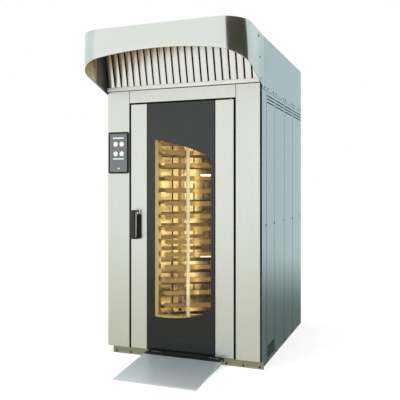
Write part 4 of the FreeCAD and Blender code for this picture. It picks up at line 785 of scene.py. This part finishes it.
base_low, base_high = corners("handle_base")
cap_low, cap_high = corners("handle_cap")
grip_low, grip_high = corners("handle_grip")
seat_y = base_high.y
handle_x = (cap_low.x + cap_high.x) / 2
body_half = 16.0
body_left = handle_x - body_half
body_right = handle_x + body_half
body_front = cap_low.y
spindle_reach = 14.0
spindle_y = body_front - spindle_reach
knuckle = 9.0
knuckle_back = body_front + 4.0
knuckle_front = spindle_y - knuckle
knuckle_left = handle_x - knuckle
knuckle_right = handle_x + knuckle
arm_height = 13.0
arm_play = 0.5
lug_height = 16.0
lug_low = base_low.z + arm_height + arm_play
lug_high = lug_low + lug_height
body = block(body_left, body_right, base_low.z, base_high.z, 15.0, seat_y, body_front, 7.0)
lug = block(knuckle_left, knuckle_right, lug_low, lug_high, 3.0, knuckle_back, knuckle_front, 3.0)
verts, faces = joined((body, lug))
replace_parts(piece("handle_body", verts, faces, "door", black_plastic), "handle_base")

# Chrome plate on the cap: an even mirror
chrome = finish("chrome_plate", "#D6D6D4", "#CBCBC9", (60, 60, 60), (4, 4, 4), 1.0, (0.08, 0.16), 0.0)
knob_high = cap_high.z - arm_height - arm_play
crown = block(body_left, body_right, cap_low.z, cap_high.z, 10.0, seat_y, body_front, 6.0)
knob = block(knuckle_left, knuckle_right, cap_low.z, knob_high, 3.0, knuckle_back, knuckle_front, 3.0)
verts, faces = joined((crown, knob))
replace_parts(piece("handle_crown", verts, faces, "door", chrome), "handle_cap")

# Charcoal grip: the same plastic, polished by hands
charcoal = finish("plastic_charcoal", "#2B2D2E", "#232526", (50, 50, 50), (1.5, 1.5, 1.5), 0.0, (0.35, 0.5),
                  0.02)
grip_width = 49.0
grip_depth = 20.0
grip_left = grip_low.x - 5.0
grip_right = grip_left + grip_width
grip_front = grip_low.y
grip_back = grip_front + grip_depth
arm_front = grip_front + 9.0
arm_left = grip_left + 12.0
shapes = [block(grip_left, grip_right, grip_low.z, grip_high.z, 14.0, grip_back, grip_front, 8.0)]
# An arm's plan, round its spindle and out to the back of the grip
slant = 0.7 * knuckle
arm_plan = [(handle_x, spindle_y + knuckle), (handle_x + slant, spindle_y + slant),
            (handle_x + knuckle, spindle_y), (handle_x + slant, spindle_y - slant),
            (handle_x, spindle_y - knuckle), (grip_right - 8, arm_front), (arm_left, arm_front),
            (arm_left, grip_back)]
for low in (base_low.z, cap_high.z - arm_height):
    shapes.append(capped([[(x, y, z) for x, y in arm_plan] for z in (low, low + arm_height)]))
verts, faces = joined(shapes)
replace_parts(piece("handle_bar", verts, faces, "handle", charcoal), "handle_grip")

# Ramp
# A sloping stainless plate from the floor to the sill, hung on two hinge rods so that it lifts for sweeping.
# A strip of black rubber along its upper end meets the sill without a gap.

# Scuffed stainless: cool and dull, with wheel scuffs along the way the trolley rolls; painted paler toward
# its tip as painted reflection
ramp_steel = paint_light_and_shade(finish("steel_scuffed", "#D2DFE8", "#C2D0DA", (200, 500, 200), (6, 120, 6), 0.5,
                          (0.42, 0.56), 0.01), "#E4EEF4", (0, -1050, 20), (0, -1381, 0))
dress(ramp_steel, 0.6, "ramp_plate")
dress(black_oxide, 0.4, "ramp_hinge")
ramp_low, ramp_high = corners("ramp_plate")
rear_edge = -804.0
tip_thickness = 1.5
ramp_slope = math.atan2(ramp_high.z - tip_thickness, rear_edge - ramp_low.y)
uphill = Vector((0, math.cos(ramp_slope), math.sin(ramp_slope)))
rubber_width = 62.0
rubber_inset = Vector((1, 0, 0))
rubber_middle = Vector((0, rear_edge, ramp_high.z)) - uphill * rubber_width / 2
rubber_left = rubber_middle + Vector((ramp_low.x, 0, 0)) + rubber_inset
rubber_right = rubber_middle + Vector((ramp_high.x, 0, 0)) - rubber_inset
strip("ramp_rubber", rubber_left, rubber_right, uphill, rubber_width, 2.0, "ramp", rubber_and_gap_shade)

# Painted shade on the plinth behind the ramp: a black strip as dark as the gap under the door
plinth_low, plinth_high = corners("plinth")
sill_height = 30.0
sill_middle = plinth_high.z - sill_height / 2
strip("sill_painted_shade", (ramp_low.x, plinth_low.y, sill_middle), (ramp_high.x, plinth_low.y, sill_middle),
      (0, 0, 1), sill_height, 1.0, "cabinet", rubber_and_gap_shade)

# Floor
# A plain painted studio floor, level under the oven and running off into the white room on every side.
# It is no part of the oven.
floor_half = 60.0
mesh = bpy.data.meshes.new("studio_floor")
mesh.from_pydata([(-floor_half, -floor_half, 0), (floor_half, -floor_half, 0), (floor_half, floor_half, 0),
                  (-floor_half, floor_half, 0)], [], [(0, 1, 2, 3)])
floor = bpy.data.objects.new("studio_floor", mesh)
scene.collection.objects.link(floor)


def seen_rays(tree):
    """1 for the rays by which the eye, metal or glass sees the background, else 0."""
    path = add(tree, "ShaderNodeLightPath", {})
    direct = add(tree, "ShaderNodeMath", {0: path.outputs["Is Camera Ray"], 1: path.outputs["Is Glossy Ray"]},
                 operation="MAXIMUM")
    return add(tree, "ShaderNodeMath", {0: direct.outputs[0], 1: path.outputs["Is Transmission Ray"]},
               operation="MAXIMUM").outputs[0]


# Matt pale paint: it stays white to the eye and keeps the oven's soft shadow
floor_paint = bpy.data.materials.new("floor_paint")
floor_paint.use_nodes = True
tree = floor_paint.node_tree
shader = tree.nodes["Principled BSDF"]
shader.inputs["Base Color"].default_value = linear("#EFEFED")
shader.inputs["Roughness"].default_value = 0.9
shader.inputs["Specular IOR Level"].default_value = 0.0
shader.inputs["Emission Color"].default_value = linear("#FFFFFF")
place = add(tree, "ShaderNodeTexCoord", {}).outputs["Object"]
reach = add(tree, "ShaderNodeVectorMath", {0: place}, operation="LENGTH")
# Metres from the oven over which the floor fades into the white room, and how much it glows at either end
fade_near = 1.5
fade_far = 5.0
glow_near = 0.53
glow_far = 0.63
fade = add(tree, "ShaderNodeMapRange", {"Value": reach.outputs["Value"], "From Min": fade_near,
                                        "From Max": fade_far, "To Min": glow_near, "To Max": glow_far})
lift = add(tree, "ShaderNodeMath", {0: fade.outputs[0], 1: seen_rays(tree)}, operation="MULTIPLY")
tree.links.new(lift.outputs[0], shader.inputs["Emission Strength"])
mesh.materials.append(floor_paint)

# Reflected room
# Cards of plain cloth that only polished surfaces see, hung as in a studio: dark to the right of the camera,
# cool behind the oven and on its left, and on the floor before the oven and beside it.


def card(name, places, code, rear=None):
    """A card through four points in metres that shows only in reflections, turning to rear toward +Y."""
    mesh = bpy.data.meshes.new(name)
    mesh.from_pydata(places, [], [(0, 1, 2, 3)])
    made = bpy.data.objects.new(name, mesh)
    scene.collection.objects.link(made)
    made.visible_camera = False
    made.visible_diffuse = False
    made.visible_shadow = False
    made.visible_transmission = False
    # Evenly lit cloth: one flat tone, or a slow change from the near tone to the rear one
    material = bpy.data.materials.new(name)
    material.use_nodes = True
    tree = material.node_tree
    tree.nodes.clear()
    glow = add(tree, "ShaderNodeEmission", {"Color": linear(code)})
    if rear:
        place = add(tree, "ShaderNodeTexCoord", {}).outputs["Generated"]
        span = add(tree, "ShaderNodeSeparateXYZ", {"Vector": place})
        share = add(tree, "ShaderNodeMapRange", {"Value": span.outputs["Y"], "From Min": 0.4})
        tone = add(tree, "ShaderNodeMix", {"Factor": share.outputs[0], 6: linear(code), 7: linear(rear)},
                   data_type="RGBA")
        tree.links.new(tone.outputs[2], glow.inputs["Color"])
    add(tree, "ShaderNodeOutputMaterial", {"Surface": glow.outputs[0]})
    mesh.materials.append(material)


def wall(name, start, end, low, high, code):
    """An upright card over the line from start to end, both x and y."""
    card(name, [(*start, low), (*end, low), (*end, high), (*start, high)], code)


def cloth(name, left, right, near, far, code, rear):
    """A level card just above the floor."""
    height = 0.004
    card(name, [(left, near, height), (right, near, height), (right, far, height), (left, far, height)],
         code, rear)


wall("dark_room", (2.9, -8.5), (7.0, -4.0), 0.2, 9.0, "#4E4A3E")
wall("dark_room_side", (7.0, -4.0), (7.2, 2.4), 1.2, 9.0, "#4A483D")
wall("cool_wall", (0.4, 7.0), (8.0, 3.0), 0.0, 8.0, "#D6E6E8")
wall("cool_left", (-7.0, -7.0), (-7.5, 2.0), 0.0, 9.0, "#E8EFF1")
cloth("side_cloth", 0.678, 6.0, -0.9, 5.5, "#68766F", "#D6E6E8")
cloth("front_cloth", -8.0, 8.0, -16.0, -0.8, "#FFFFFF", "#D3D2C5")

# Light
# Soft boxes in front and above, two more in the doorway and the door that help the chamber's lamps, and the
# white room round the oven, which lights it at half the strength that it shows.
world = bpy.data.worlds.new("studio")
scene.world = world
world.use_nodes = True
tree = world.node_tree
tree.nodes.clear()
strength = add(tree, "ShaderNodeMapRange", {"Value": seen_rays(tree), "To Min": 0.5, "To Max": 1.0})
room = add(tree, "ShaderNodeBackground", {"Color": linear("#FFFFFF"), "Strength": strength.outputs[0]})
add(tree, "ShaderNodeOutputWorld", {"Surface": room.outputs[0]})


def soft_box(name, place, target, width, height, power, code, mirrored=False):
    """A soft light in metres and watts, aimed at a point, hidden from the eye; mirrored if metal shows it."""
    lamp = bpy.data.lights.new(name, "AREA")
    lamp.shape = "RECTANGLE"
    lamp.size = width
    lamp.size_y = height
    lamp.energy = power
    lamp.color = linear(code)[:3]
    stand = bpy.data.objects.new(name, lamp)
    scene.collection.objects.link(stand)
    stand.location = place
    stand.rotation_euler = (Vector(target) - Vector(place)).to_track_quat("-Z", "Y").to_euler()
    stand.visible_camera = False
    stand.visible_glossy = mirrored


soft_box("key_box", (-2.6, -4.6, 3.9), (0, -0.6, 1.3), 2.4, 2.4, 90, "#FFFBF4")
soft_box("top_box", (0.4, -1.0, 5.2), (0, 0, 1.0), 3.4, 3.4, 70, "#FFFFFF")
soft_box("chamber_light", (0.0, -0.62, 1.05), (0.0, 0.5, 1.05), 0.72, 1.8, 11, "#FFF1D6", True)
soft_box("door_glow", (0.24, -0.712, 1.06), (-0.3, -0.712, 1.06), 0.07, 1.4, 2.5, "#FFEFCF", True)

# Camera
# At chest height, to the right of the oven, level, with a shifted lens that keeps uprights upright.
# It turns left to look at the door and the right side together.
lens = bpy.data.cameras.new("photograph")
lens.lens = 51.1
lens.sensor_width = 36.0
lens.shift_y = -0.039
lens.clip_end = 200.0
camera = bpy.data.objects.new("photograph", lens)
scene.collection.objects.link(camera)
camera.location = (1.779, -4.996, 1.415)
camera.rotation_euler = (math.radians(90), 0, math.radians(20.9))
scene.camera = camera
scene.view_settings.view_transform = "Standard"
